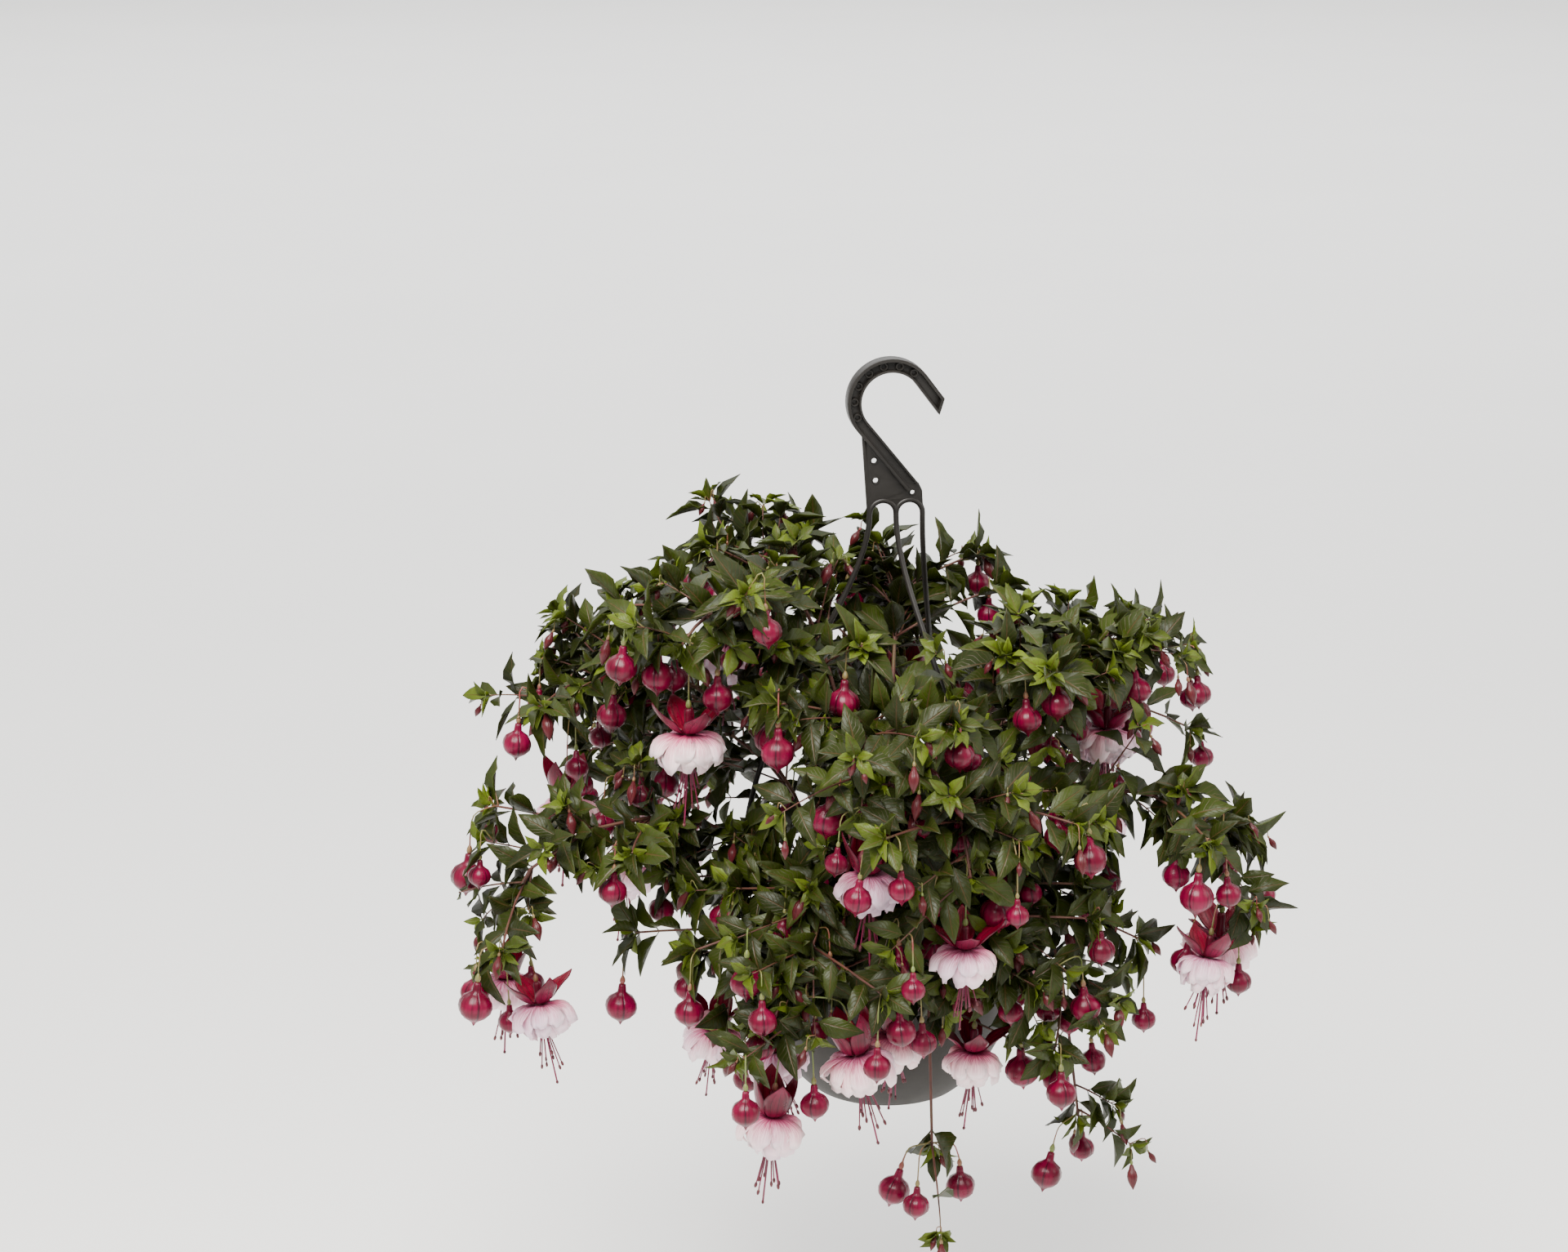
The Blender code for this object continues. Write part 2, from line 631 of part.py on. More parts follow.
class Line:
    """A stem or side shoot: its stations with their half widths, and which of them end a joint."""

    def __init__(self, curve, marks, thick, thin, side):
        self.side = side
        self.points = [curve[0]]
        self.joints = [False]
        for mark, is_joint in marks:
            here = along_curve(curve, mark)
            tangent = (along_curve(curve, mark + 0.01) - along_curve(curve, mark - 0.01)).normalized()
            if is_joint:
                self.points += [here - tangent * JOINT / 2, here + tangent * JOINT / 2]
                self.joints += [False, True]
            else:
                self.points.append(here)
                self.joints.append(False)
        last = len(self.points) - 1
        self.halves = [thick + (thin - thick) * rank / last for rank in range(last + 1)]

    def frame(self, rank):
        """Tangent, way across and upper side of the section at a station."""
        tangent = direction_at(self.points, rank)
        across = (self.side - tangent * self.side.dot(tangent)).normalized()
        up = tangent.cross(across)
        return tangent, across, -up if up.dot(outward(self.points[rank])) < 0 else up

    def wall_centre(self, rank, hand):
        """Middle of a joint's side wall."""
        _, across, _ = self.frame(rank)
        half = (self.halves[rank] + self.halves[rank - 1]) / 2
        return (self.points[rank] + self.points[rank - 1]) / 2 + across * (hand * half)

    def under(self, rank):
        """Middle of the section's lower edge."""
        return self.points[rank] - self.frame(rank)[2] * self.halves[rank]


class Leaf:
    """A leaf's place (+X along the blade, +Z its upper face), size and form."""

    def __init__(self, root, along, normal, size, small):
        x = along.normalized()
        y = normal.cross(x).normalized()
        z = x.cross(y)
        self.place = Matrix.Translation(root) @ Matrix((x, y, z)).transposed().to_4x4()
        self.length = (TIP_LEAF_LENGTH if small else LEAF_LENGTH) * size
        self.width = (TIP_LEAF_WIDTH if small else LEAF_WIDTH) * size
        self.stations = TIP_LEAF_FORM if small else LEAF_FORM

    def balls(self):
        """Balls that cover the blade beyond its root."""
        spots = [(0.11, 0.0, 0.13), (0.90, 0.0, 0.13), (0.98, 0.0, 0.06)]
        spots += [(along, across * hand, radius) for hand in (-1, 1)
                  for along, across, radius in ((0.20, 0.13, 0.15), (0.34, 0.31, 0.19), (0.56, 0.27, 0.18),
                                                (0.75, 0.10, 0.18))]
        spots += [(along, 0.0, 0.18) for along in (0.34, 0.56)]
        return [(self.place @ Vector((self.length * along, self.width * across, 0.0)), self.width * radius)
                for along, across, radius in spots]


def along_curve(curve, mark):
    """A point at a share of a polyline's stations, from 0 to 1, or a little past its ends."""
    last = len(curve) - 1
    position = mark * last
    index = min(max(int(position), 0), last - 1)
    return curve[index] + (curve[index + 1] - curve[index]) * (position - index)


def stem_line(row):
    """A shoot's main stem: upright out of the soil, then one arch out to its tip."""
    azimuth, reach, crest, tip = row[:4]
    foot = stem_foot(row)
    angle = math.radians(azimuth)
    out = Vector((math.cos(angle), math.sin(angle), 0.0))
    start = foot + Vector((0, 0, 0.004))
    rise = start + out * (0.12 * reach) + Vector((0, 0, (crest + SOIL_DEPTH) * 0.95))
    bend = out * (reach * 0.90)
    bend.z = RIM_Z + crest + (crest - tip) * 0.30
    end = out * reach
    end.z = RIM_Z + tip
    curve = bezier((start, rise, bend, end), 12)
    line = Line(curve, STEM_MARKS, STEM_R, 0.0012, Vector((-math.sin(angle), math.cos(angle), 0.0)))
    line.points.insert(0, foot - Vector((0, 0, HOLE_DEPTH - GAP)))
    line.halves.insert(0, STEM_R)
    line.joints.insert(0, False)
    return line


def outward(spot):
    """The open side of the bush at a point: away from its middle, and up."""
    away = spot - Vector((0, 0, RIM_Z + 0.06))
    return (away.normalized() * 0.7 + Vector((0, 0, 0.55))).normalized()


class Plant:
    """All stems, leaves, buds and blooms with their places, laid out shoot by shoot."""

    def __init__(self):
        self.space = Space()
        self.stems = []
        self.laterals = [{} for _ in SHOOTS]
        self.leaves = [{} for _ in SHOOTS]
        self.flowers = [{} for _ in SHOOTS]
        self.yokes = []
        self.draw = random.Random(5)

    def lay_out(self):
        for index in range(3):
            self.space.add(balls_along(rod_path(index, 30), ROD_R, 0.004), "hanger")
        keep_out = [Vector((x, 0.0, z)) for x in (-0.035, -0.01, 0.015) for z in (-0.235, -0.265, -0.295)]
        self.space.add([(spot, 0.036) for spot in keep_out], "hanger")
        self.space.add([(Vector((0.0, 0.0, z)), 0.05) for z in (-0.17, -0.10)], "hanger")
        for i, row in enumerate(SHOOTS):
            line = stem_line(row)
            self.stems.append(line)
            self.space.add(balls_along(line.points[1:], STEM_R, 0.006), ("stem", i))
        slots = [self.flower_slots(i) for i in range(len(SHOOTS))]
        for kind in ("bloom", "bud"):
            for i in range(len(SHOOTS)):
                self.place_flowers(i, kind, slots[i])
        for i in range(len(SHOOTS)):
            self.place_laterals(i)
        for i in range(len(SHOOTS)):
            self.place_stem_leaves(i)
        for i in range(len(SHOOTS)):
            self.place_tip_leaves(i)

    def flower_slots(self, i):
        """Kind, way out and root of each flower: on the joint under the stem, or at the stem's own tip."""
        blooms, buds = SHOOTS[i][4:]
        stem = self.stems[i]
        last = len(stem.points) - 1
        start, end = stem.under(last - 2), stem.under(last - 1)
        tangent = (end - start).normalized()
        down = stem.side.cross(tangent)
        centre = end.lerp(start, 0.30) + down * (GAP + YOKE_HALF)
        self.yokes.append((centre, tangent, stem.side, down))
        if blooms:
            self.space.add([(centre + tangent * step, YOKE_HALF * 1.4) for step in (-0.003, 0.0, 0.003)], ("yoke", i))
        ways = [(way, way + down * 0.4, centre + way * YOKE_HALF) for way in (stem.side, -stem.side, down)]
        ways.append((tangent, tangent + down * 0.9, centre + tangent * (YOKE_LENGTH / 2)))
        if blooms == 1:
            ways = [ways[3], ways[0], ways[1]]
        if blooms == 0:
            ways = [(stem.side * hand, stem.side * hand + down * 0.4, stem.wall_centre(last, hand)) for hand in (1, -1)]
        kinds = ["bloom"] * blooms + ["bud"] * buds
        return [(kind, way, lean.normalized(), down, root) for kind, (way, lean, root) in zip(kinds, ways)]

    def place_flowers(self, i, wanted, slots):
        """Blooms or fat buds, each hung on its stalk from its slot, where its whole form is clear."""
        for slot, (kind, out, lean, down, root) in enumerate(slots):
            if kind != wanted:
                continue
            for attempt in range(160):
                wander = Vector([self.draw.uniform(-1, 1) for _ in range(3)]) * (0.15 + 0.012 * attempt)
                heading = (lean + wander).normalized()
                if heading.dot(out) < 0.35 or heading.dot(down) < 0.12:
                    continue
                length = (0.042 if kind == "bloom" else 0.036) * (1 + self.draw.uniform(-0.15, 0.25) + 0.005 * attempt)
                end = root + heading * length * 0.80 - Vector((0, 0, length * 0.50))
                points = bezier((root, root + heading * length * 0.55, end + Vector((0, 0, length * 0.45)), end), 2)
                axis = (Vector((0, 0, 1)) - heading * self.draw.uniform(0.0, 0.30)).normalized()
                turn = axis.to_track_quat("Z", "Y").to_matrix().to_4x4()
                turn = turn @ Matrix.Rotation(self.draw.uniform(0, math.pi), 4, "Z")
                size = self.draw.uniform(0.90, 1.06) if kind == "bloom" else self.draw.uniform(0.72, 1.05)
                lift = self.draw.choice(SEPAL_LIFTS)
                place = Matrix.Translation(end) @ turn @ Matrix.Scale(size, 4)
                balls = [(place @ spot, radius * size) for spot, radius in flower_balls(kind, lift)]
                stalk_balls = balls_along([root + heading * 0.003] + points[1:], STALK_R + 0.0004, 0.004)
                crossed = any((centre - spot).length < radius + thick for centre, radius in balls[2:]
                              for spot, thick in stalk_balls)
                if crossed:
                    continue
                if self.space.free(balls, ()) and self.space.free(stalk_balls, (("stem", i), ("yoke", i))):
                    mine = ("flower", i, slot)
                    self.space.add(balls + stalk_balls, mine)
                    self.flowers[i][slot] = (kind, points, place, lift, out)
                    break

    def place_laterals(self, i):
        """Side shoots at the joints, by turns left and right, which rise a little and then lean out."""
        stem = self.stems[i]
        ranks = [rank for rank, joint in enumerate(stem.joints) if joint][:-1]
        for k, rank in enumerate(ranks):
            hand = 1 if (k + i) % 2 else -1
            root = stem.wall_centre(rank, hand)
            tangent = direction_at(stem.points, rank)
            open_side = outward(root)
            for attempt in range(24):
                length = (0.115 - 0.008 * k) * self.draw.uniform(0.85, 1.15) * (1 - 0.02 * attempt)
                lean = self.draw.uniform(0.25, 0.85)
                lift = self.draw.uniform(0.0, 0.8)
                heading = (stem.side * hand + tangent * lean + open_side * lift).normalized()
                end = root + heading * length - Vector((0, 0, length * 0.12))
                curve = bezier((root, root + heading * length * 0.35, end - heading * length * 0.3
                                + open_side * 0.012, end), 6)
                line = Line(curve, LATERAL_MARKS, LATERAL_R, 0.0009, heading.cross(open_side).normalized())
                balls = balls_along([root + heading * 0.008] + line.points[1:], LATERAL_R + 0.001, 0.005)
                if self.space.free(balls, (("stem", i),)):
                    self.space.add(balls, ("lateral", i, rank))
                    self.laterals[i][rank, hand] = line
                    break

    def try_leaf(self, key, root, frame, along, size, small, own):
        """Turn a leaf about its root until it is clear; give it up if it never is."""
        tangent, _, up = frame
        normal = (up + outward(root) * 0.3).normalized()
        acute = 1.0 if along.dot(tangent) > 0.95 else 0.64
        for attempt in range(13):
            swing = 0.13 * ((attempt + 1) // 2) * (1 if attempt % 2 else -1)
            headed = Matrix.Rotation(swing, 3, normal) @ along + normal * self.draw.uniform(-0.30, 0.30)
            headed.normalize()
            leaf = Leaf(root, headed, normal, size * (1 - 0.02 * attempt), small)
            if -0.25 < headed.dot(tangent) < acute and self.space.free(leaf.balls(), own):
                self.space.add(leaf.balls(), key)
                return leaf
        return None

    def place_stem_leaves(self, i):
        """Large leaves at the joints of the main stem, opposite the side shoots, and three at its tip."""
        stem = self.stems[i]
        ranks = [rank for rank, joint in enumerate(stem.joints) if joint]
        for rank in ranks:
            frame = stem.frame(rank)
            for hand in (-1, 1):
                if (rank, hand) in self.laterals[i] or (rank == ranks[-1] and SHOOTS[i][4] == 0):
                    continue
                along = (stem.side * hand + frame[0] * self.draw.uniform(0.20, 0.70)).normalized()
                root = stem.wall_centre(rank, hand)
                size = self.draw.uniform(0.86, 1.08)
                leaf = self.try_leaf(("leaf", i), root, frame, along, size, False, (("stem", i),))
                if leaf:
                    self.leaves[i][rank, hand] = leaf
        frame = stem.frame(len(stem.points) - 1)
        leaf = self.try_leaf(("leaf", i), stem.points[-1], frame, frame[0], 1.1, True, (("stem", i),))
        if leaf:
            self.leaves[i]["end"] = leaf

    def place_tip_leaves(self, i):
        """Three leaves at the end of each side shoot."""
        for (rank, hand), line in self.laterals[i].items():
            last = len(line.points) - 1
            frame = line.frame(last)
            own = (("lateral", i, rank),)
            size = self.draw.uniform(0.95, 1.25)
            leaf = self.try_leaf(("leaf", i), line.points[-1], frame, frame[0], size, True, own)
            if leaf:
                self.leaves[i][rank, hand, "end"] = leaf
            for turn in (-1, 1):
                along = (frame[1] * turn + frame[0] * self.draw.uniform(0.35, 0.60)).normalized()
                root = line.wall_centre(last, turn)
                size = self.draw.uniform(0.95, 1.30)
                leaf = self.try_leaf(("leaf", i), root, frame, along, size, True, own)
                if leaf:
                    self.leaves[i][rank, hand, turn] = leaf


def flower_balls(kind, lift):
    """Balls that cover a bud, or a bloom's sepals, corolla and stamens, in the flower's own frame."""
    if kind == "bud":
        return [(Vector((0, 0, z)), radius)
                for z, radius in ((-0.008, 0.004), (-0.020, 0.012), (-0.031, 0.0145), (-0.042, 0.007))]
    balls = [(Vector((0, 0, z)), radius) for z, radius in ((-0.008, 0.004), (-0.020, 0.008), (-0.042, 0.027),
                                                           (-0.052, 0.030), (-0.072, 0.013), (-0.092, 0.009))]
    leaning = math.radians(lift)
    for out in (Vector((1, 0, 0)), Vector((0, 1, 0)), Vector((-1, 0, 0)), Vector((0, -1, 0))):
        along = out * math.cos(leaning) + Vector((0, 0, math.sin(leaning)))
        wide = out * 0.0145 + Vector((0, 0, MOUTH_Z + 0.002 + 0.009 * math.sin(leaning)))
        balls += [(wide + along * (SEPAL_LENGTH * 0.70 * share), radius)
                  for share, radius in ((0.0, 0.0100), (0.4, 0.0065), (0.85, 0.0030))]
    return balls


# ---------------------------------------------------------------- the plant's nodes
def grow_flower(bm, face, flower):
    """A stalk with its bud or calyx."""
    kind, points, place, lift, _ = flower
    face = grow_stalk(bm, face, points, place)
    if kind == "bud":
        grow_bud(bm, face, place)
    else:
        grow_calyx(bm, face, place, lift)


def make_shoot(plant, i):
    """Stem, side shoots and leaves of one shoot, with its fat buds where it carries no open bloom."""
    stem = plant.stems[i]
    leaves = plant.leaves[i]
    bm = bmesh.new()
    half = stem.halves[0]
    face = bar(bm, stem.points[0], stem.points[1], stem.side * half, stem.side.cross(Vector((0, 0, 1))) * half)
    tip, walls = grow_line(bm, face, stem, 2)
    if "end" in leaves:
        grow_leaf(bm, tip, leaves["end"])
    for (rank, hand), wall in walls.items():
        if (rank, hand) in leaves:
            grow_leaf(bm, wall, leaves[rank, hand])
        if (rank, hand) in plant.laterals[i]:
            end, end_walls = grow_line(bm, wall, plant.laterals[i][rank, hand], 1)
            if (rank, hand, "end") in leaves:
                grow_leaf(bm, end, leaves[rank, hand, "end"])
            for (_, turn), end_wall in end_walls.items():
                if (rank, hand, turn) in leaves:
                    grow_leaf(bm, end_wall, leaves[rank, hand, turn])
    if i not in SPRAY_HOSTS:
        last = len(stem.points) - 1
        for slot, flower in plant.flowers[i].items():
            grow_flower(bm, walls[last, 1 - 2 * slot], flower)
    name = "shoot_%02d" % (i + 1)
    shoot = new_object(name, finish(bm, name), LEAF, basket)
    smooth(shoot, 50)


def make_spray(plant, i, number):
    """The calyces and fat buds of one shoot, on their stalks, grown from the joint they hang by."""
    centre, tangent, side, down = plant.yokes[i]
    half_run = tangent * (YOKE_LENGTH / 2)
    bm = bmesh.new()
    front = bar(bm, centre - half_run, centre + half_run, side * YOKE_HALF, down * YOKE_HALF)
    flowers = plant.flowers[i].values()
    faces = [front if out.dot(tangent) > 0.9 else side_face(front, out) for _, _, _, _, out in flowers]
    for face, flower in zip(faces, flowers):
        grow_flower(bm, face, flower)
    name = "spray_%02d" % number
    spray = new_object(name, finish(bm, name), SEPAL, basket)
    smooth(spray, 50)


def make_corolla(place, master, number):
    """The pale petals of one bloom, with its stamens and its long style."""
    name = "corolla_%02d" % number
    mesh = master.copy()
    mesh.name = name
    mesh.transform(place)
    corolla = new_object(name, mesh, PETAL, basket)
    smooth(corolla, 50)


corolla_masters = (corolla_master("corolla_full", 1.12), corolla_master("corolla_narrow", 0.95))
make_pot()
make_soil()
make_hanger()
layout = Plant()
layout.lay_out()
for shoot_index in range(len(SHOOTS)):
    make_shoot(layout, shoot_index)
for spray_number, shoot_index in enumerate(SPRAY_HOSTS):
    make_spray(layout, shoot_index, spray_number + 1)
blooms = [flower for flowers in layout.flowers for flower in flowers.values() if flower[0] == "bloom"]
for bloom_number, (_, _, bloom_place, _, _) in enumerate(blooms):
    make_corolla(bloom_place, corolla_masters[bloom_number % 2], bloom_number + 1)
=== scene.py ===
"""A fuchsia hanging basket: pot, soil, hanger, stems, leaves, sprays and blooms."""
import math
import random

import bpy
import numpy as np
from mathutils import Matrix, Vector, noise


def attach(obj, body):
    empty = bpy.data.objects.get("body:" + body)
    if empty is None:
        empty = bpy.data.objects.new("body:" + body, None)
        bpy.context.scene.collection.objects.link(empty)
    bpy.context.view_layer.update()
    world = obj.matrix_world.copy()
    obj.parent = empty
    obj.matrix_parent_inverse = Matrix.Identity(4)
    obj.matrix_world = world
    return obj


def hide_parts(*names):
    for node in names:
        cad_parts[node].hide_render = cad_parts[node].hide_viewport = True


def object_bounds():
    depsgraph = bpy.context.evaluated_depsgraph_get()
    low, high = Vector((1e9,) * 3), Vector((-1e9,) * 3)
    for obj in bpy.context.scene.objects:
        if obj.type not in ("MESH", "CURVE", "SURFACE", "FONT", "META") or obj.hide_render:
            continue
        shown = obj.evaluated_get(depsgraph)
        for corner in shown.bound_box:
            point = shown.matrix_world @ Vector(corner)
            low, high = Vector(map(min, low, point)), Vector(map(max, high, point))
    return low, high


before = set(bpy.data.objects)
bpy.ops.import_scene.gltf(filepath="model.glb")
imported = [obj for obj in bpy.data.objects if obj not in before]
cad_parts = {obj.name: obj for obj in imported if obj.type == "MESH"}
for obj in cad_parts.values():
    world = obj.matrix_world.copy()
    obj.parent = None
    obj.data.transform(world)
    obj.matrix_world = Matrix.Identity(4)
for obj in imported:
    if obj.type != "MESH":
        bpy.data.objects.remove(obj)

cad_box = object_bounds()

# ------------------------------------------------------------------ pot
# A round moulded pot of thin dark plastic with a plain rolled lip, a faint step line and a flat base.
# Its skin is finely grained and matt; it is raised ring by ring from a circle, and drilled for drainage.
rim_z = -0.510
rim_r = 0.1255
pot_height = 0.160
pot_wall = 0.0022
wall_r = rim_r - 0.0033
step_depth = 0.052
step_in = 0.0018
base_r = 0.0705
drain_circle = 0.045
drain_r = 0.0045


def close_edit():
    """Leave edit mode and give back the piece."""
    bpy.ops.object.mode_set(mode="OBJECT")
    return bpy.context.object


def throw(name, profile, sides):
    """A round piece raised from a circle, ring by ring, through radii and heights."""
    bpy.ops.object.select_all(action="DESELECT")
    radius, height = profile[0]
    bpy.ops.mesh.primitive_circle_add(vertices=sides, radius=radius, location=(0, 0, height))
    bpy.context.object.name = name
    bpy.ops.object.transform_apply()
    bpy.ops.object.mode_set(mode="EDIT")
    bpy.ops.mesh.select_all(action="SELECT")
    for wider, higher in profile[1:]:
        bpy.ops.mesh.extrude_region_move()
        bpy.ops.transform.resize(value=(wider / radius, wider / radius, 1), center_override=(0, 0, 0))
        bpy.ops.transform.translate(value=(0, 0, higher - height))
        radius, height = wider, higher
    bpy.ops.mesh.select_all(action="SELECT")
    bpy.ops.mesh.remove_doubles(threshold=0.00001)
    bpy.ops.mesh.select_all(action="DESELECT")
    bpy.ops.mesh.select_non_manifold()
    bpy.ops.mesh.edge_face_add()
    bpy.ops.mesh.select_all(action="SELECT")
    bpy.ops.mesh.normals_make_consistent(inside=False)
    return close_edit()


def lower_wall(inset, count):
    """The wall below the step line, a quarter ellipse that ends at the base's edge."""
    top_r = wall_r - step_in - inset
    fall = pot_height - step_depth - inset
    stretch = fall / math.sqrt(1 - ((base_r - inset * 0.6) / top_r) ** 2)
    drops = [fall * math.sin(math.pi / 2 * i / count) for i in range(count + 1)]
    return [(top_r * math.sqrt(1 - (drop / stretch) ** 2), rim_z - step_depth - drop) for drop in drops]


pot_profile = [(wall_r - pot_wall, rim_z - 0.0010), (wall_r - pot_wall + 0.0008, rim_z - 0.0002)]
pot_profile += [(wall_r - 0.0002, rim_z), (rim_r - 0.0012, rim_z - 0.0001), (rim_r - 0.0002, rim_z - 0.0009)]
pot_profile += [(rim_r, rim_z - 0.0022), (rim_r - 0.0001, rim_z - 0.0040), (rim_r - 0.0010, rim_z - 0.0050)]
pot_profile += [(wall_r + 0.0004, rim_z - 0.0052), (wall_r, rim_z - 0.0062), (wall_r - 0.0004, rim_z - 0.030)]
pot_profile += [(wall_r - 0.0008, rim_z - step_depth + 0.0022)]
pot_profile += [(wall_r - 0.0010, rim_z - step_depth + 0.0012)]
pot_profile += [(wall_r - 0.0017, rim_z - step_depth + 0.0006)]
pot_profile += lower_wall(0.0, 20)
pot_profile += [(base_r - 0.004, rim_z - pot_height), (0.012, rim_z - pot_height)]
pot_profile += [(0.0120, rim_z - pot_height + pot_wall)] + list(reversed(lower_wall(pot_wall, 14)))
pot = throw("pot_skin", pot_profile, 128)
bpy.ops.object.select_all(action="DESELECT")
for i in range(4):
    angle = math.radians(45 + 90 * i)
    drain = (drain_circle * math.cos(angle), drain_circle * math.sin(angle), rim_z - pot_height)
    bpy.ops.mesh.primitive_cylinder_add(vertices=24, radius=drain_r, depth=0.02, location=drain)
    drill = bpy.context.object
    cut = pot.modifiers.new("drain", "BOOLEAN")
    cut.object = drill
    bpy.context.view_layer.objects.active = pot
    bpy.ops.object.modifier_apply(modifier=cut.name)
    bpy.data.objects.remove(drill)
pot.data.shade_smooth()
pot.data.set_sharp_from_angle(angle=math.radians(38))


class Finish:
    """A procedural material under construction: its shader, and short ways to add and link nodes."""

    def __init__(self, name, roughness):
        self.material = bpy.data.materials.new(name)
        self.material.use_nodes = True
        self.tree = self.material.node_tree
        self.shader = self.tree.nodes["Principled BSDF"]
        self.shader.inputs["Roughness"].default_value = roughness

    def node(self, kind, settings=None, **links):
        """A node; settings are its own values, and links go to inputs by name with _ for a space."""
        made = self.tree.nodes.new("ShaderNode" + kind)
        for key, value in (settings or {}).items():
            if key in made.inputs:
                made.inputs[key].default_value = value
            else:
                setattr(made, key, value)
        for key, source in links.items():
            self.tree.links.new(source, made.inputs[key.replace("_", " ")])
        return made

    def math(self, operation, first, second=0.5):
        """A Math node between two sockets or numbers."""
        made = self.tree.nodes.new("ShaderNodeMath")
        made.operation = operation
        for slot, value in enumerate((first, second)):
            if isinstance(value, (int, float)):
                made.inputs[slot].default_value = value
            else:
                self.tree.links.new(value, made.inputs[slot])
        return made.outputs[0]

    def ramp(self, source, stops):
        """A colour ramp over a value, with stops as position and colour."""
        made = self.tree.nodes.new("ShaderNodeValToRGB")
        self.tree.links.new(source, made.inputs[0])
        while len(made.color_ramp.elements) < len(stops):
            made.color_ramp.elements.new(0.5)
        for element, (position, colour) in zip(made.color_ramp.elements, stops):
            element.position = position
            element.color = (*colour, 1.0)
        return made.outputs[0]

    def mix(self, share, first, second):
        """A colour mix; each side is a socket or a colour."""
        made = self.tree.nodes.new("ShaderNodeMix")
        made.data_type = "RGBA"
        for slot, value in ((0, share), (6, first), (7, second)):
            if isinstance(value, (int, float)):
                made.inputs[slot].default_value = value
            elif isinstance(value, tuple):
                made.inputs[slot].default_value = (*value, 1.0)
            else:
                self.tree.links.new(value, made.inputs[slot])
        return made.outputs[2]

    def fall(self, source, near, far, most):
        """A share that falls from most at the near value to nothing at the far one."""
        settings = {"From Min": near, "From Max": far, "To Min": most, "To Max": 0.0}
        return self.node("MapRange", settings, Value=source).outputs[0]

    def noise(self, scale, detail=3.0, where=None):
        """A noise value in the piece's own space."""
        if where is None:
            where = self.node("TexCoord").outputs["Object"]
        return self.node("TexNoise", {"Scale": scale, "Detail": detail}, Vector=where).outputs[0]

    def bump(self, height, strength, distance):
        """A fine relief on the surface, from a height value."""
        made = self.node("Bump", {"Strength": strength, "Distance": distance}, Height=height)
        self.tree.links.new(made.outputs[0], self.shader.inputs["Normal"])

    def colour(self, source):
        """The colour of the surface, from a socket."""
        self.tree.links.new(source, self.shader.inputs["Base Color"])

    def rough(self, source, low, high):
        """A roughness that wanders between two values."""
        made = self.node("MapRange", {"To Min": low, "To Max": high}, Value=source)
        self.tree.links.new(made.outputs[0], self.shader.inputs["Roughness"])


def dress(piece, finish):
    """Give a piece its one finish."""
    piece.data.materials.clear()
    piece.data.materials.append(finish.material)


pot_plastic = Finish("pot_plastic", 0.55)
pot_mottle = pot_plastic.noise(9.0, 4.0)
pot_plastic.colour(pot_plastic.ramp(pot_mottle, [(0.30, (0.0150, 0.0132, 0.0116)),
                                                 (0.72, (0.0220, 0.0194, 0.0170))]))
pot_plastic.rough(pot_plastic.noise(60.0), 0.48, 0.64)
pot_plastic.bump(pot_plastic.noise(2600.0, 2.0), 0.35, 0.0002)
pot_plastic.shader.inputs["Specular IOR Level"].default_value = 0.22
dress(pot, pot_plastic)
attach(pot, "root")
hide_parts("pot")

# ------------------------------------------------------------------ soil
# Peaty potting soil that fills the pot to 14 mm under its lip, with loose crumbs and a little bark on top.
# It is a plug with an uneven top, and the crumbs are pressed into it.
soil_depth = 0.014
crumb_count = 420
crumb_sizes = (0.0008, 0.0030)
soil_draw = random.Random(5)
soil_profile = [(0.0015, rim_z - soil_depth)]
soil_profile += [(0.0058 * ring, rim_z - soil_depth) for ring in range(1, 20)]
soil_profile += [(wall_r - pot_wall - 0.0006, rim_z - soil_depth - 0.001)]
soil_profile += [(r - 0.0006, z) for r, z in lower_wall(pot_wall, 8)]
soil_profile += [(0.0015, rim_z - pot_height + pot_wall + 0.0003)]
soil = throw("soil_top", soil_profile, 80)
for vert in soil.data.vertices:
    if vert.co.z > rim_z - soil_depth - 0.0005:
        vert.co.z += 0.0030 * noise.noise(vert.co * 60) + 0.0014 * noise.noise(vert.co * 190) - 0.001


def bring_in(name, data):
    """A new object in the scene, for a mesh, a curve, a light or a camera."""
    made = bpy.data.objects.new(name, data)
    bpy.context.collection.objects.link(made)
    return made


crumb_shapes = []
for grain in range(3):
    bpy.ops.mesh.primitive_ico_sphere_add(subdivisions=1, radius=1.0)
    crumb = bpy.context.object
    for vert in crumb.data.vertices:
        vert.co *= 1.0 + 0.45 * noise.noise(vert.co * 1.7 + Vector((9.0 * grain, 0, 0)))
    crumb_shapes.append(crumb)
crumbs = []
for grain in range(crumb_count):
    angle = soil_draw.uniform(0, 2 * math.pi)
    reach = (wall_r - 0.007) * math.sqrt(soil_draw.random())
    copy = bring_in("crumb", crumb_shapes[grain % 3].data.copy())
    size = soil_draw.uniform(*crumb_sizes)
    spot = Vector((reach * math.cos(angle), reach * math.sin(angle), rim_z - soil_depth + 0.0003))
    turn = Matrix.Rotation(soil_draw.uniform(0, 6), 4, Vector((soil_draw.random(), soil_draw.random(), 1)))
    flat = Matrix.Diagonal((size, size * soil_draw.uniform(0.6, 1.6), size * 0.7, 1))
    copy.data.transform(Matrix.Translation(spot) @ turn @ flat)
    crumbs.append(copy)
for crumb in crumb_shapes:
    bpy.data.objects.remove(crumb)


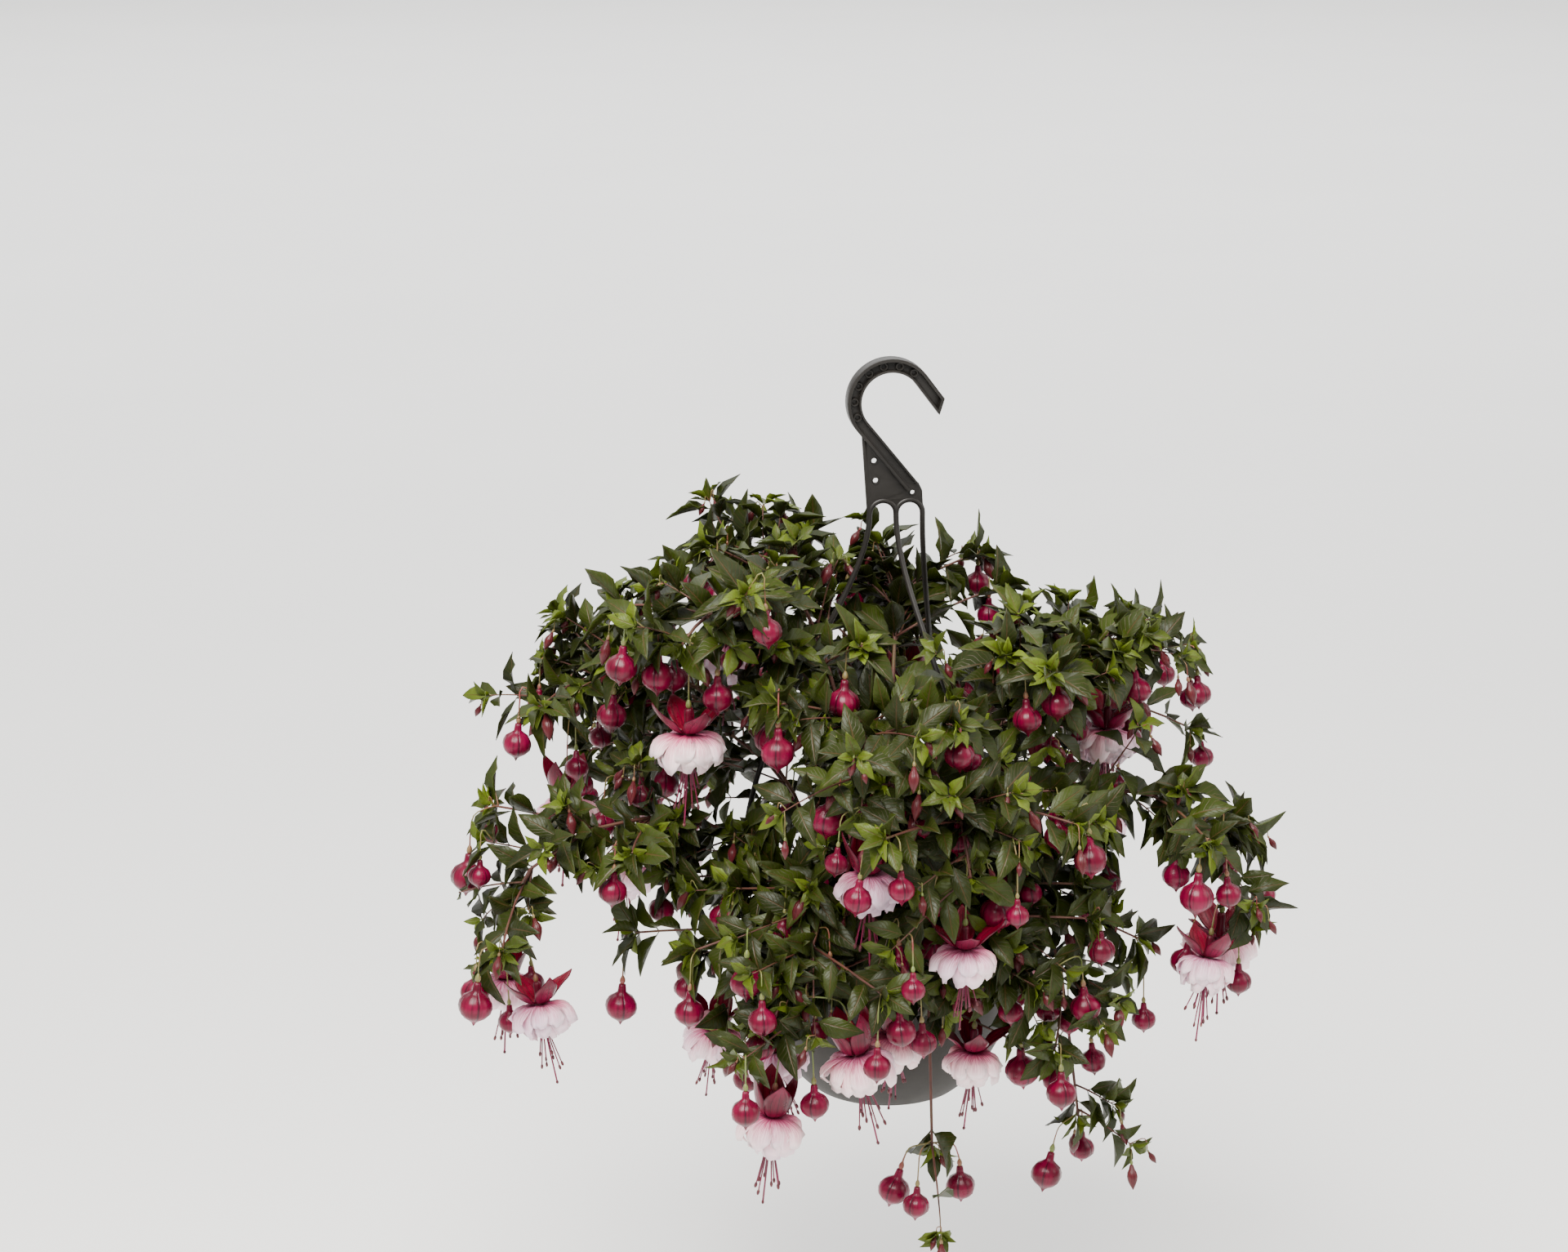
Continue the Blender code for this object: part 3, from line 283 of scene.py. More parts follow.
def join(pieces, name):
    """Join pieces into the first one, as one mesh."""
    bpy.ops.object.select_all(action="DESELECT")
    for piece in pieces:
        piece.select_set(True)
    bpy.context.view_layer.objects.active = pieces[0]
    bpy.ops.object.join()
    pieces[0].name = name
    pieces[0].data.name = name
    return pieces[0]


soil = join([soil] + crumbs, "soil_top")
soil.data.shade_smooth()
peat = Finish("peat", 0.95)
peat_mottle = peat.noise(180.0, 5.0)
peat.colour(peat.ramp(peat_mottle, [(0.32, (0.014, 0.009, 0.006)), (0.55, (0.034, 0.021, 0.013)),
                                    (0.74, (0.070, 0.045, 0.028))]))
peat.bump(peat.noise(420.0, 5.0), 0.9, 0.0012)
dress(soil, peat)
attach(soil, "root")
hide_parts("soil")

# ------------------------------------------------------------------ hanger
# One moulding of dark plastic: a hook of I section with ring bosses in its groove, a thin pierced plate,
# and three round rods that spread to the lip, where clip feet grip it. All are one body.
hook_inner = 0.027
hook_outer = hook_inner + 0.0125
hook_depth = 0.015
hook_web = 0.0024
outer_flange = 0.0032
inner_flange = 0.0020
boss_r = 0.0030
boss_count = 7
hook_start = math.radians(37)
hook_end = math.radians(219)
hook_tip = 0.036
hook_arm = 0.073
rod_r = 0.0025
rod_pitch = 0.024
rod_first_x = -0.018
arch_z = -0.129
plate_thickness = 0.0030
eyelets = ((-0.0145, -0.080, 0.0024), (-0.0130, -0.098, 0.0024), (0.0205, -0.1100, 0.0020))
foot_azimuths = (180, -60, 60)
foot_width = 0.012


def arc(centre, radius, start, end, count):
    """Points round an arc in the hanger's plane."""
    step = (end - start) / count
    return [(centre[0] + radius * math.cos(start + step * i), centre[1] + radius * math.sin(start + step * i))
            for i in range(count + 1)]


def bezier(controls, count):
    """Points along a cubic Bezier curve."""
    a, b, c, d = (Vector(point) for point in controls)
    points = []
    for i in range(count + 1):
        t = i / count
        s = 1 - t
        points.append(a * s ** 3 + b * (3 * s * s * t) + c * (3 * s * t * t) + d * t ** 3)
    return points


def rod_path(index, count):
    """One rod, from its arch down to its foot on the lip."""
    angle = math.radians(foot_azimuths[index])
    out = Vector((math.cos(angle), math.sin(angle), 0.0))
    top = Vector((rod_first_x + rod_pitch * index, 0.0, arch_z))
    end = out * (rim_r + 0.0020)
    end.z = rim_z + 0.0035
    swell = out * (rim_r + 0.035)
    swell.z = rim_z + 0.175
    return bezier((top, top - Vector((0, 0, 0.090)), swell, end), count)


def cut_out(name, outline, thickness, edge, holes=()):
    """A flat outline in the hanger's plane, with softened edges, and pierced by round holes."""
    curve = bpy.data.curves.new(name, "CURVE")
    curve.dimensions = "2D"
    curve.fill_mode = "BOTH"
    curve.extrude = thickness / 2 - edge
    curve.bevel_depth = edge
    curve.bevel_resolution = 1
    curve.offset = -edge
    for line in [outline] + [arc((x, z), radius, 0.0, 2 * math.pi, 20)[:-1] for x, z, radius in holes]:
        spline = curve.splines.new("POLY")
        spline.points.add(len(line) - 1)
        for knot, (x, z) in zip(spline.points, line):
            knot.co = (x, z, 0.0, 1.0)
        spline.use_cyclic_u = True
    return as_mesh(curve, name, Matrix.Rotation(math.pi / 2, 4, "X"))


def as_mesh(curve, name, place):
    """Turn a curve into a mesh with welded ends, put in its place."""
    source = bring_in(name, curve)
    bpy.ops.object.select_all(action="DESELECT")
    source.select_set(True)
    bpy.context.view_layer.objects.active = source
    bpy.ops.object.convert(target="MESH")
    made = bpy.context.object
    made.data.transform(place)
    bpy.ops.object.mode_set(mode="EDIT")
    bpy.ops.mesh.select_all(action="SELECT")
    bpy.ops.mesh.remove_doubles(threshold=0.00001)
    bpy.ops.mesh.normals_make_consistent(inside=False)
    return close_edit()


def round_bar(name, sides):
    """An empty curve with a round section and closed ends; a higher number of sides is rounder."""
    curve = bpy.data.curves.new(name, "CURVE")
    curve.dimensions = "3D"
    curve.bevel_depth = 1.0
    curve.bevel_resolution = sides
    curve.use_fill_caps = True
    return curve


def cane(name, runs, sides):
    """Round bars along runs of points, each point with its radius, as one mesh."""
    curve = round_bar(name, sides)
    for points, radii in runs:
        spline = curve.splines.new("POLY")
        spline.points.add(len(points) - 1)
        for knot, point, radius in zip(spline.points, points, radii):
            knot.co = (*point, 1.0)
            knot.radius = radius
    return as_mesh(curve, name, Matrix.Identity(4))


def hook_line(radius, start_run, end_run, count=28):
    """A line at one radius of the hook: straight arm, arc over the top, straight arm to the mouth."""
    points = arc((0.0, -hook_inner), radius, hook_end, hook_start, count)
    down = (-math.sin(hook_end), math.cos(hook_end))
    mouth = (math.sin(hook_start), -math.cos(hook_start))
    first = (points[0][0] + down[0] * start_run, points[0][1] + down[1] * start_run)
    last = (points[-1][0] + mouth[0] * end_run, points[-1][1] + mouth[1] * end_run)
    return [first] + points + [last]


def hook_strip(low, high, thickness, start_run, runs_out, edge):
    """A strip of the hook between two radii."""
    outline = hook_line(high, start_run, runs_out[0]) + list(reversed(hook_line(low, start_run, runs_out[1])))
    return cut_out("hook_strip", outline, thickness, edge)


def ring(spot, radius, thickness, sides):
    """A moulded ring that lies in the hanger's plane."""
    bpy.ops.mesh.primitive_torus_add(major_segments=sides, minor_segments=6, major_radius=radius,
                                     minor_radius=thickness, location=spot, rotation=(math.pi / 2, 0, 0))
    bpy.ops.object.transform_apply()
    return bpy.context.object


hook = [hook_strip(hook_inner + 0.0005, hook_outer - 0.0005, hook_web, hook_arm - 0.001,
                   (hook_tip - 0.0095, hook_tip - 0.001), edge=0.0002),
        hook_strip(hook_outer - outer_flange, hook_outer, hook_depth, hook_arm,
                   (hook_tip - 0.0115, hook_tip - 0.0090), edge=0.0007),
        hook_strip(hook_inner, hook_inner + inner_flange, hook_depth, hook_arm,
                   (hook_tip - 0.0016, hook_tip), edge=0.0006)]
tip_top = hook_line(hook_outer, 0, hook_tip - 0.0090)[-1]
tip_back = hook_line(hook_outer, 0, hook_tip - 0.0125)[-1]
tip_low = hook_line(hook_inner, 0, hook_tip)[-1]
tip_low_back = hook_line(hook_inner, 0, hook_tip - 0.0035)[-1]
hook.append(cut_out("hook_tip", [tip_back, tip_top, tip_low, tip_low_back], hook_depth, edge=0.0006))
for index in range(boss_count):
    angle = hook_start + math.radians(14 + 25.5 * index)
    middle = (hook_inner + inner_flange + hook_outer - outer_flange) / 2
    x, z = middle * math.cos(angle), -hook_inner + middle * math.sin(angle)
    hook += [ring((x, side * 0.0032, z), boss_r, thickness=0.0010, sides=20) for side in (-1, 1)]
first_rod, second_rod, third_rod = (rod_first_x + rod_pitch * i for i in range(3))
half_pitch = rod_pitch / 2
plate_outline = [(-0.0245, -0.055), (first_rod - 0.001, arch_z)]
plate_outline += arc((first_rod + half_pitch, arch_z), half_pitch, math.pi, 0.0, 14)
plate_outline += arc((second_rod + half_pitch, arch_z), half_pitch, math.pi, 0.0, 14)[1:]
plate_outline += [(third_rod + 0.0008, arch_z), (third_rod - 0.0006, -0.1085), (0.0262, -0.1018),
                  (0.016, -0.102), (-0.0245, -0.052)]
hook.append(cut_out("plate", plate_outline, plate_thickness, edge=0.0005, holes=eyelets))
hook += [ring((x, -plate_thickness / 2, z), hole + 0.0006, thickness=0.0007, sides=24)
         for x, z, hole in eyelets]
arch = [Vector((x, 0.0, z)) for x, z in arc((first_rod + half_pitch, arch_z), half_pitch, math.pi, 0.0, 14)]
left_rod = list(reversed(rod_path(0, 36))) + arch[1:]
arch = [Vector((x, 0.0, z)) for x, z in arc((second_rod + half_pitch, arch_z), half_pitch, 0.0, math.pi, 14)]
right_rod = list(reversed(rod_path(2, 36))) + arch[1:]
rod_runs = [(path, [rod_r] * len(path)) for path in (left_rod, right_rod, rod_path(1, 36))]
hook.append(cane("rods", rod_runs, sides=3))
edge_top = [Vector((-0.0236, 0, -0.056)), Vector((first_rod, 0, arch_z))]
hook.append(cane("plate_edge", [(edge_top, [0.0022, 0.0024])], sides=2))
lug = wall_r - pot_wall - 0.0012
foot = [(lug - 0.002, rim_z + 0.0065), (rim_r + 0.0035, rim_z + 0.0065), (rim_r + 0.0035, rim_z - 0.008),
        (wall_r + 0.0006, rim_z - 0.008), (wall_r + 0.0006, rim_z - 0.0055), (rim_r + 0.0005, rim_z - 0.0055),
        (rim_r + 0.0005, rim_z + 0.0003), (lug, rim_z + 0.0003), (lug, rim_z - 0.005),
        (lug - 0.002, rim_z - 0.005)]
for azimuth in foot_azimuths:
    clip = cut_out("foot", foot, foot_width, edge=0.0004)
    clip.data.transform(Matrix.Rotation(math.radians(azimuth), 4, "Z"))
    hook.append(clip)
hanger = join(hook, "hanger_moulding")
hanger.data.shade_smooth()
hanger.data.set_sharp_from_angle(angle=math.radians(40))
hanger_plastic = Finish("hanger_plastic", 0.40)
hanger_mottle = hanger_plastic.noise(30.0, 4.0)
hanger_plastic.colour(hanger_plastic.ramp(hanger_mottle, [(0.35, (0.0080, 0.0068, 0.0058)),
                                                          (0.70, (0.0140, 0.0120, 0.0102))]))
hanger_plastic.rough(hanger_plastic.noise(90.0), 0.34, 0.50)
hanger_plastic.bump(hanger_plastic.noise(1400.0, 2.0), 0.20, 0.0002)
hanger_plastic.shader.inputs["Specular IOR Level"].default_value = 0.35
dress(hanger, hanger_plastic)
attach(hanger, "root")
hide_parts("hanger")

# ------------------------------------------------------------------ stems
# Nineteen woody shoots stand in the soil, rise through the rods and arch out to their tips, with side
# shoots at their joints and thin twigs between. They are red-brown, round and a little swollen at joints.
gap = 0.0003
clearance = 0.0015
hole_depth = 0.026
stem_r = 0.0019
lateral_r = 0.0012
stalk_r = 0.0008
leaf_size = (0.056, 0.027)
tip_leaf_size = (0.030, 0.013)
joint_run = 0.005
stem_marks = ((0.20, False), (0.36, True), (0.50, True), (0.64, True), (0.80, True), (1.0, True))
lateral_marks = ((0.45, False), (1.0, True))
sepal_lifts = (58, 28)
sepal_length = 0.038
sepal_width = 0.019
mouth_z = -0.030
yoke_half = 0.0014
yoke_run = 0.008
stalk_lengths = {"bloom": 0.042, "bud": 0.036}
rod_cage_r = 0.036
plate_clear_r = 0.05
lip_headroom = 0.009
lip_sideroom = 0.005
flower_tries = 160
side_shoot_tries = 24
leaf_tries = 13
# azimuth, reach, crest and tip above the lip, open blooms, fat buds
shoots = (
    (195, 0.390, 0.150, 0.020, 2, 2), (219, 0.215, 0.090, -0.035, 2, 2), (243, 0.252, 0.090, -0.005, 2, 2),
    (264, 0.190, 0.110, 0.010, 1, 2), (285, 0.205, 0.085, 0.025, 1, 2), (313, 0.215, 0.085, -0.140, 0, 2),
    (332, 0.335, 0.170, 0.040, 2, 2), (275, 0.260, 0.200, 0.130, 1, 2), (254, 0.230, 0.260, 0.210, 1, 2),
    (211, 0.235, 0.345, 0.305, 1, 2), (140, 0.165, 0.340, 0.315, 1, 1), (75, 0.140, 0.285, 0.265, 1, 1),
    (351, 0.215, 0.275, 0.245, 2, 2), (317, 0.190, 0.275, 0.245, 0, 2), (165, 0.300, 0.250, 0.190, 1, 2),
    (38, 0.330, 0.190, 0.090, 1, 2), (86, 0.300, 0.210, 0.070, 1, 2), (126, 0.340, 0.150, 0.010, 2, 2),
    (273, 0.178, 0.065, -0.150, 0, 2))


class Space:
    """What already stands in the basket, as balls with an owner, so that new growth keeps clear."""

    def __init__(self):
        self.centres = np.zeros((0, 3))
        self.radii = np.zeros(0)
        self.owners = []

    def add(self, balls, owner):
        """Take up the balls' room in an owner's name."""
        self.centres = np.vstack([self.centres] + [np.array(centre)[None, :] for centre, _ in balls])
        self.radii = np.append(self.radii, [radius for _, radius in balls])
        self.owners += [owner] * len(balls)

    def free(self, balls, own):
        """True if the balls stay out of the pot and off every ball of another owner."""
        for centre, radius in balls:
            low = centre[2] - radius
            span = math.hypot(centre[0], centre[1])
            if low < rim_z + lip_headroom and span - radius < rim_r + lip_sideroom:
                return False
        middle = sum((np.array(centre) for centre, _ in balls), np.zeros(3)) / len(balls)
        wide = max(np.linalg.norm(np.array(centre) - middle) + radius for centre, radius in balls)
        reach = np.linalg.norm(self.centres - middle, axis=1)
        near = np.nonzero(reach < self.radii + wide + clearance)[0]
        near = [k for k in near if self.owners[k] not in own]
        centres = self.centres[near]
        radii = self.radii[near]
        for centre, radius in balls:
            distance = np.linalg.norm(centres - np.array(centre), axis=1)
            if np.any(distance < radii + radius + clearance):
                return False
        return True


def balls_along(points, radius, spacing):
    """Balls of one size that cover a line."""
    found = []
    for a, b in zip(points, points[1:]):
        count = max(1, math.ceil((b - a).length / spacing))
        found += [(a.lerp(b, i / count), radius) for i in range(count)]
    found.append((points[-1], radius))
    return found


def along_curve(curve, mark):
    """The spot at a share of a line of points."""
    last = len(curve) - 1
    position = mark * last
    index = min(max(int(position), 0), last - 1)
    return curve[index] + (curve[index + 1] - curve[index]) * (position - index)


def direction_at(points, index):
    """The way a line of points runs at one of them."""
    return (points[min(index + 1, len(points) - 1)] - points[max(index - 1, 0)]).normalized()


def outward(spot):
    """The open side of the bush at a point: away from its middle, and up."""
    away = spot - Vector((0, 0, rim_z + 0.06))
    return (away.normalized() * 0.7 + Vector((0, 0, 0.55))).normalized()


class Line:
    """A stem or side shoot: its stations with their half widths, and which of them end a joint."""

    def __init__(self, curve, marks, thick, thin, side):
        self.side = side
        self.points = [curve[0]]
        self.joints = [False]
        for mark, is_joint in marks:
            here = along_curve(curve, mark)
            tangent = (along_curve(curve, mark + 0.01) - along_curve(curve, mark - 0.01)).normalized()
            if is_joint:
                self.points += [here - tangent * joint_run / 2, here + tangent * joint_run / 2]
                self.joints += [False, True]
            else:
                self.points.append(here)
                self.joints.append(False)
        last = len(self.points) - 1
        self.halves = [thick + (thin - thick) * rank / last for rank in range(last + 1)]

    def section(self, rank):
        """Tangent, way across and upper side of the section at a station."""
        tangent = direction_at(self.points, rank)
        across = (self.side - tangent * self.side.dot(tangent)).normalized()
        up = tangent.cross(across)
        return tangent, across, -up if up.dot(outward(self.points[rank])) < 0 else up

    def wall_centre(self, rank, hand):
        """The middle of a joint's wall, on one hand, where a leaf or side shoot grows."""
        across = self.section(rank)[1]
        half = (self.halves[rank] + self.halves[rank - 1]) / 2
        return (self.points[rank] + self.points[rank - 1]) / 2 + across * (hand * half)

    def under(self, rank):
        """The underside of the stem at a station."""
        return self.points[rank] - self.section(rank)[2] * self.halves[rank]


def blade_place(root, along, normal):
    """A blade's place, with +X along it and +Z out of its upper face."""
    x = along.normalized()
    y = normal.cross(x).normalized()
    return Matrix.Translation(root) @ Matrix((x, y, x.cross(y))).transposed().to_4x4()


class Leaf:
    """A leaf's place and its size."""

    def __init__(self, root, along, normal, size, small):
        self.place = blade_place(root, along, normal)
        self.length = (tip_leaf_size if small else leaf_size)[0] * size
        self.width = (tip_leaf_size if small else leaf_size)[1] * size

    def balls(self):
        """Balls that cover the blade beyond its root."""
        spots = [(0.11, 0.0, 0.13), (0.90, 0.0, 0.13), (0.98, 0.0, 0.06)]
        spots += [(along, across * hand, radius) for hand in (-1, 1)
                  for along, across, radius in ((0.20, 0.13, 0.15), (0.34, 0.31, 0.19), (0.56, 0.27, 0.18),
                                                (0.75, 0.10, 0.18))]
        spots += [(along, 0.0, 0.18) for along in (0.34, 0.56)]
        return [(self.place @ Vector((self.length * along, self.width * across, 0.0)), self.width * radius)
                for along, across, radius in spots]


def stem_foot(row):
    """Where a shoot stands on the soil: flat shoots stand further out than steep ones."""
    azimuth, reach, crest = row[:3]
    radius = min(0.062, max(0.020, 0.074 - 0.032 * crest / reach))
    angle = math.radians(azimuth)
    return Vector((radius * math.cos(angle), radius * math.sin(angle), rim_z - soil_depth))


def stem_line(row):
    """A shoot's main stem: upright out of the soil, then one arch out to its tip."""
    azimuth, reach, crest, tip = row[:4]
    foot = stem_foot(row)
    angle = math.radians(azimuth)
    out = Vector((math.cos(angle), math.sin(angle), 0.0))
    start = foot + Vector((0, 0, 0.004))
    rise = start + out * (0.12 * reach) + Vector((0, 0, (crest + soil_depth) * 0.95))
    bend = out * (reach * 0.90)
    bend.z = rim_z + crest + (crest - tip) * 0.30
    end = out * reach
    end.z = rim_z + tip
    line = Line(bezier((start, rise, bend, end), 12), stem_marks, stem_r, 0.0012,
                Vector((-math.sin(angle), math.cos(angle), 0.0)))
    line.points.insert(0, foot - Vector((0, 0, hole_depth - gap)))
    line.halves.insert(0, stem_r)
    line.joints.insert(0, False)
    return line


def flower_balls(kind, lift):
    """Balls that cover a bud, or a bloom's sepals, corolla and stamens, in the flower's own frame."""
    if kind == "bud":
        return [(Vector((0, 0, z)), radius)
                for z, radius in ((-0.008, 0.004), (-0.020, 0.012), (-0.031, 0.0145), (-0.042, 0.007))]
    balls = [(Vector((0, 0, z)), radius) for z, radius in ((-0.008, 0.004), (-0.020, 0.008), (-0.042, 0.027),
                                                           (-0.052, 0.030), (-0.072, 0.013), (-0.092, 0.009))]
    leaning = math.radians(lift)
    for out in (Vector((1, 0, 0)), Vector((0, 1, 0)), Vector((-1, 0, 0)), Vector((0, -1, 0))):
        along = out * math.cos(leaning) + Vector((0, 0, math.sin(leaning)))
        wide = out * 0.0145 + Vector((0, 0, mouth_z + 0.002 + 0.009 * math.sin(leaning)))
        balls += [(wide + along * (sepal_length * 0.70 * share), radius)
                  for share, radius in ((0.0, 0.0100), (0.4, 0.0065), (0.85, 0.0030))]
    return balls


class Plant:
    """All stems, leaves, buds and blooms with their places, laid out shoot by shoot."""

    def __init__(self):
        self.space = Space()
        self.stems = []
        self.laterals = [{} for _ in shoots]
        self.leaves = [{} for _ in shoots]
        self.flowers = [{} for _ in shoots]
        self.yokes = []
        self.draw = random.Random(5)
        for index in range(3):
            self.space.add(balls_along(rod_path(index, 30), rod_r, 0.004), "hanger")
        keep_out = [Vector((x, 0.0, z)) for x in (-0.035, -0.01, 0.015) for z in (-0.235, -0.265, -0.295)]
        self.space.add([(spot, rod_cage_r) for spot in keep_out], "hanger")
        self.space.add([(Vector((0.0, 0.0, z)), plate_clear_r) for z in (-0.17, -0.10)], "hanger")
        for i, row in enumerate(shoots):
            line = stem_line(row)
            self.stems.append(line)
            self.space.add(balls_along(line.points[1:], stem_r, 0.006), ("stem", i))
        slots = [self.flower_slots(i) for i in range(len(shoots))]
        for kind in ("bloom", "bud"):
            for i in range(len(shoots)):
                self.place_flowers(i, kind, slots[i])
        for step in (self.place_laterals, self.place_stem_leaves, self.place_tip_leaves):
            for i in range(len(shoots)):
                step(i)

    def flower_slots(self, i):
        """Kind, way out and root of each flower: on the joint under the stem, or at the stem's own tip."""
        blooms, buds = shoots[i][4:]
        stem = self.stems[i]
        last = len(stem.points) - 1
        start, end = stem.under(last - 2), stem.under(last - 1)
        tangent = (end - start).normalized()
        down = stem.side.cross(tangent)
        centre = end.lerp(start, 0.30) + down * (gap + yoke_half)
        self.yokes.append((centre, tangent))
        if blooms:
            yoke_balls = [(centre + tangent * step, yoke_half * 1.4) for step in (-0.003, 0.0, 0.003)]
            self.space.add(yoke_balls, ("yoke", i))
        ways = [(way, way + down * 0.4, centre + way * yoke_half) for way in (stem.side, -stem.side, down)]
        ways.append((tangent, tangent + down * 0.9, centre + tangent * (yoke_run / 2)))
        if blooms == 1:
            ways = [ways[3], ways[0], ways[1]]
        if blooms == 0:
            ways = [(stem.side * hand, stem.side * hand + down * 0.4, stem.wall_centre(last, hand))
                    for hand in (1, -1)]
        kinds = ["bloom"] * blooms + ["bud"] * buds
        return [(kind, way, lean.normalized(), down, root) for kind, (way, lean, root) in zip(kinds, ways)]

    def place_flowers(self, i, wanted, slots):
        """Blooms or fat buds, each hung on its stalk from its slot, where its whole form is clear."""
        for slot, (kind, out, lean, down, root) in enumerate(slots):
            if kind != wanted:
                continue
            for attempt in range(flower_tries):
                wander = Vector([self.draw.uniform(-1, 1) for _ in range(3)]) * (0.15 + 0.012 * attempt)
                heading = (lean + wander).normalized()
                if heading.dot(out) < 0.35 or heading.dot(down) < 0.12:
                    continue
                length = stalk_lengths[kind] * (1 + self.draw.uniform(-0.15, 0.25) + 0.005 * attempt)
                end = root + heading * length * 0.80 - Vector((0, 0, length * 0.50))
                above = end + Vector((0, 0, length * 0.45))
                points = bezier((root, root + heading * length * 0.55, above, end), 2)
                axis = (Vector((0, 0, 1)) - heading * self.draw.uniform(0.0, 0.30)).normalized()
                turn = axis.to_track_quat("Z", "Y").to_matrix().to_4x4()
                turn = turn @ Matrix.Rotation(self.draw.uniform(0, math.pi), 4, "Z")
                size = self.draw.uniform(*((0.90, 1.06) if kind == "bloom" else (0.72, 1.05)))
                lift = self.draw.choice(sepal_lifts)
                place = Matrix.Translation(end) @ turn @ Matrix.Scale(size, 4)
                balls = [(place @ spot, radius * size) for spot, radius in flower_balls(kind, lift)]
                stalk_balls = balls_along([root + heading * 0.003] + points[1:], stalk_r + 0.0004, 0.004)
                crossed = any((centre - spot).length < radius + thick for centre, radius in balls[2:]
                              for spot, thick in stalk_balls)
                if crossed:
                    continue
                if self.space.free(balls, ()) and self.space.free(stalk_balls, (("stem", i), ("yoke", i))):
                    self.space.add(balls + stalk_balls, ("flower", i, slot))
                    self.flowers[i][slot] = (kind, points, place, lift)
                    break

    def place_laterals(self, i):
        """Side shoots at the joints, by turns left and right, which rise a little and then lean out."""
        stem = self.stems[i]
        ranks = [rank for rank, joint in enumerate(stem.joints) if joint][:-1]
        for k, rank in enumerate(ranks):
            hand = 1 if (k + i) % 2 else -1
            root = stem.wall_centre(rank, hand)
            tangent = direction_at(stem.points, rank)
            open_side = outward(root)
            for attempt in range(side_shoot_tries):
                length = (0.115 - 0.008 * k) * self.draw.uniform(0.85, 1.15) * (1 - 0.02 * attempt)
                lean = self.draw.uniform(0.25, 0.85)
                lift = self.draw.uniform(0.0, 0.8)
                heading = (stem.side * hand + tangent * lean + open_side * lift).normalized()
                end = root + heading * length - Vector((0, 0, length * 0.12))
                bend = end - heading * length * 0.3 + open_side * 0.012
                curve = bezier((root, root + heading * length * 0.35, bend, end), 6)
                line = Line(curve, lateral_marks, lateral_r, 0.0009, heading.cross(open_side).normalized())
                balls = balls_along([root + heading * 0.008] + line.points[1:], lateral_r + 0.001, 0.005)
                if self.space.free(balls, (("stem", i),)):
                    self.space.add(balls, ("lateral", i, rank))
                    self.laterals[i][rank, hand] = line
                    break

    def try_leaf(self, key, root, section, along, size, small, own):
        """Turn a leaf about its root until it is clear; give it up if it never is."""
        tangent, _, up = section
        normal = (up + outward(root) * 0.3).normalized()
        acute = 1.0 if along.dot(tangent) > 0.95 else 0.64
        for attempt in range(leaf_tries):
            swing = 0.13 * ((attempt + 1) // 2) * (1 if attempt % 2 else -1)
            headed = Matrix.Rotation(swing, 3, normal) @ along + normal * self.draw.uniform(-0.30, 0.30)
            headed.normalize()
            leaf = Leaf(root, headed, normal, size * (1 - 0.02 * attempt), small)
            if -0.25 < headed.dot(tangent) < acute and self.space.free(leaf.balls(), own):
                self.space.add(leaf.balls(), key)
                return leaf
        return None

    def place_stem_leaves(self, i):
        """Large leaves at the joints of the main stem, opposite the side shoots, and one small at its tip."""
        stem = self.stems[i]
        ranks = [rank for rank, joint in enumerate(stem.joints) if joint]
        for rank in ranks:
            section = stem.section(rank)
            for hand in (-1, 1):
                if (rank, hand) in self.laterals[i] or (rank == ranks[-1] and shoots[i][4] == 0):
                    continue
                along = (stem.side * hand + section[0] * self.draw.uniform(0.20, 0.70)).normalized()
                root = stem.wall_centre(rank, hand)
                size = self.draw.uniform(0.86, 1.08)
                leaf = self.try_leaf(("leaf", i), root, section, along, size, False, (("stem", i),))
                if leaf:
                    self.leaves[i][rank, hand] = leaf
        section = stem.section(len(stem.points) - 1)
        leaf = self.try_leaf(("leaf", i), stem.points[-1], section, section[0], 1.1, True, (("stem", i),))
        if leaf:
            self.leaves[i]["end"] = leaf

    def place_tip_leaves(self, i):
        """Three leaves at the end of each side shoot."""
        for (rank, hand), line in self.laterals[i].items():
            last = len(line.points) - 1
            section = line.section(last)
            own = (("lateral", i, rank),)
            size = self.draw.uniform(0.95, 1.25)
            leaf = self.try_leaf(("leaf", i), line.points[-1], section, section[0], size, True, own)
            if leaf:
                self.leaves[i][rank, hand, "end"] = leaf
            for turn in (-1, 1):
                along = (section[1] * turn + section[0] * self.draw.uniform(0.35, 0.60)).normalized()
                root = line.wall_centre(last, turn)
                size = self.draw.uniform(0.95, 1.30)
                leaf = self.try_leaf(("leaf", i), root, section, along, size, True, own)
                if leaf:
                    self.leaves[i][rank, hand, turn] = leaf


plant = Plant()
growth = random.Random(11)


def cane_along(line, swell):
    """A stem's points and radii, a little thicker at each joint."""
    radii = [half * (swell if joint else 1.0) for half, joint in zip(line.halves, line.joints)]
    return line.points, radii


def reeds(name, runs, sides):
    """Round stems along smooth curves, each point with its radius, as one mesh."""
    curve = round_bar(name, sides)
    curve.resolution_u = 2
    for points, radii in runs:
        spline = curve.splines.new("BEZIER")
        spline.bezier_points.add(len(points) - 1)
        for knot, spot, radius in zip(spline.bezier_points, points, radii):
            knot.co = spot
            knot.radius = radius
            knot.handle_left_type = knot.handle_right_type = "AUTO"
    return as_mesh(curve, name, Matrix.Identity(4))


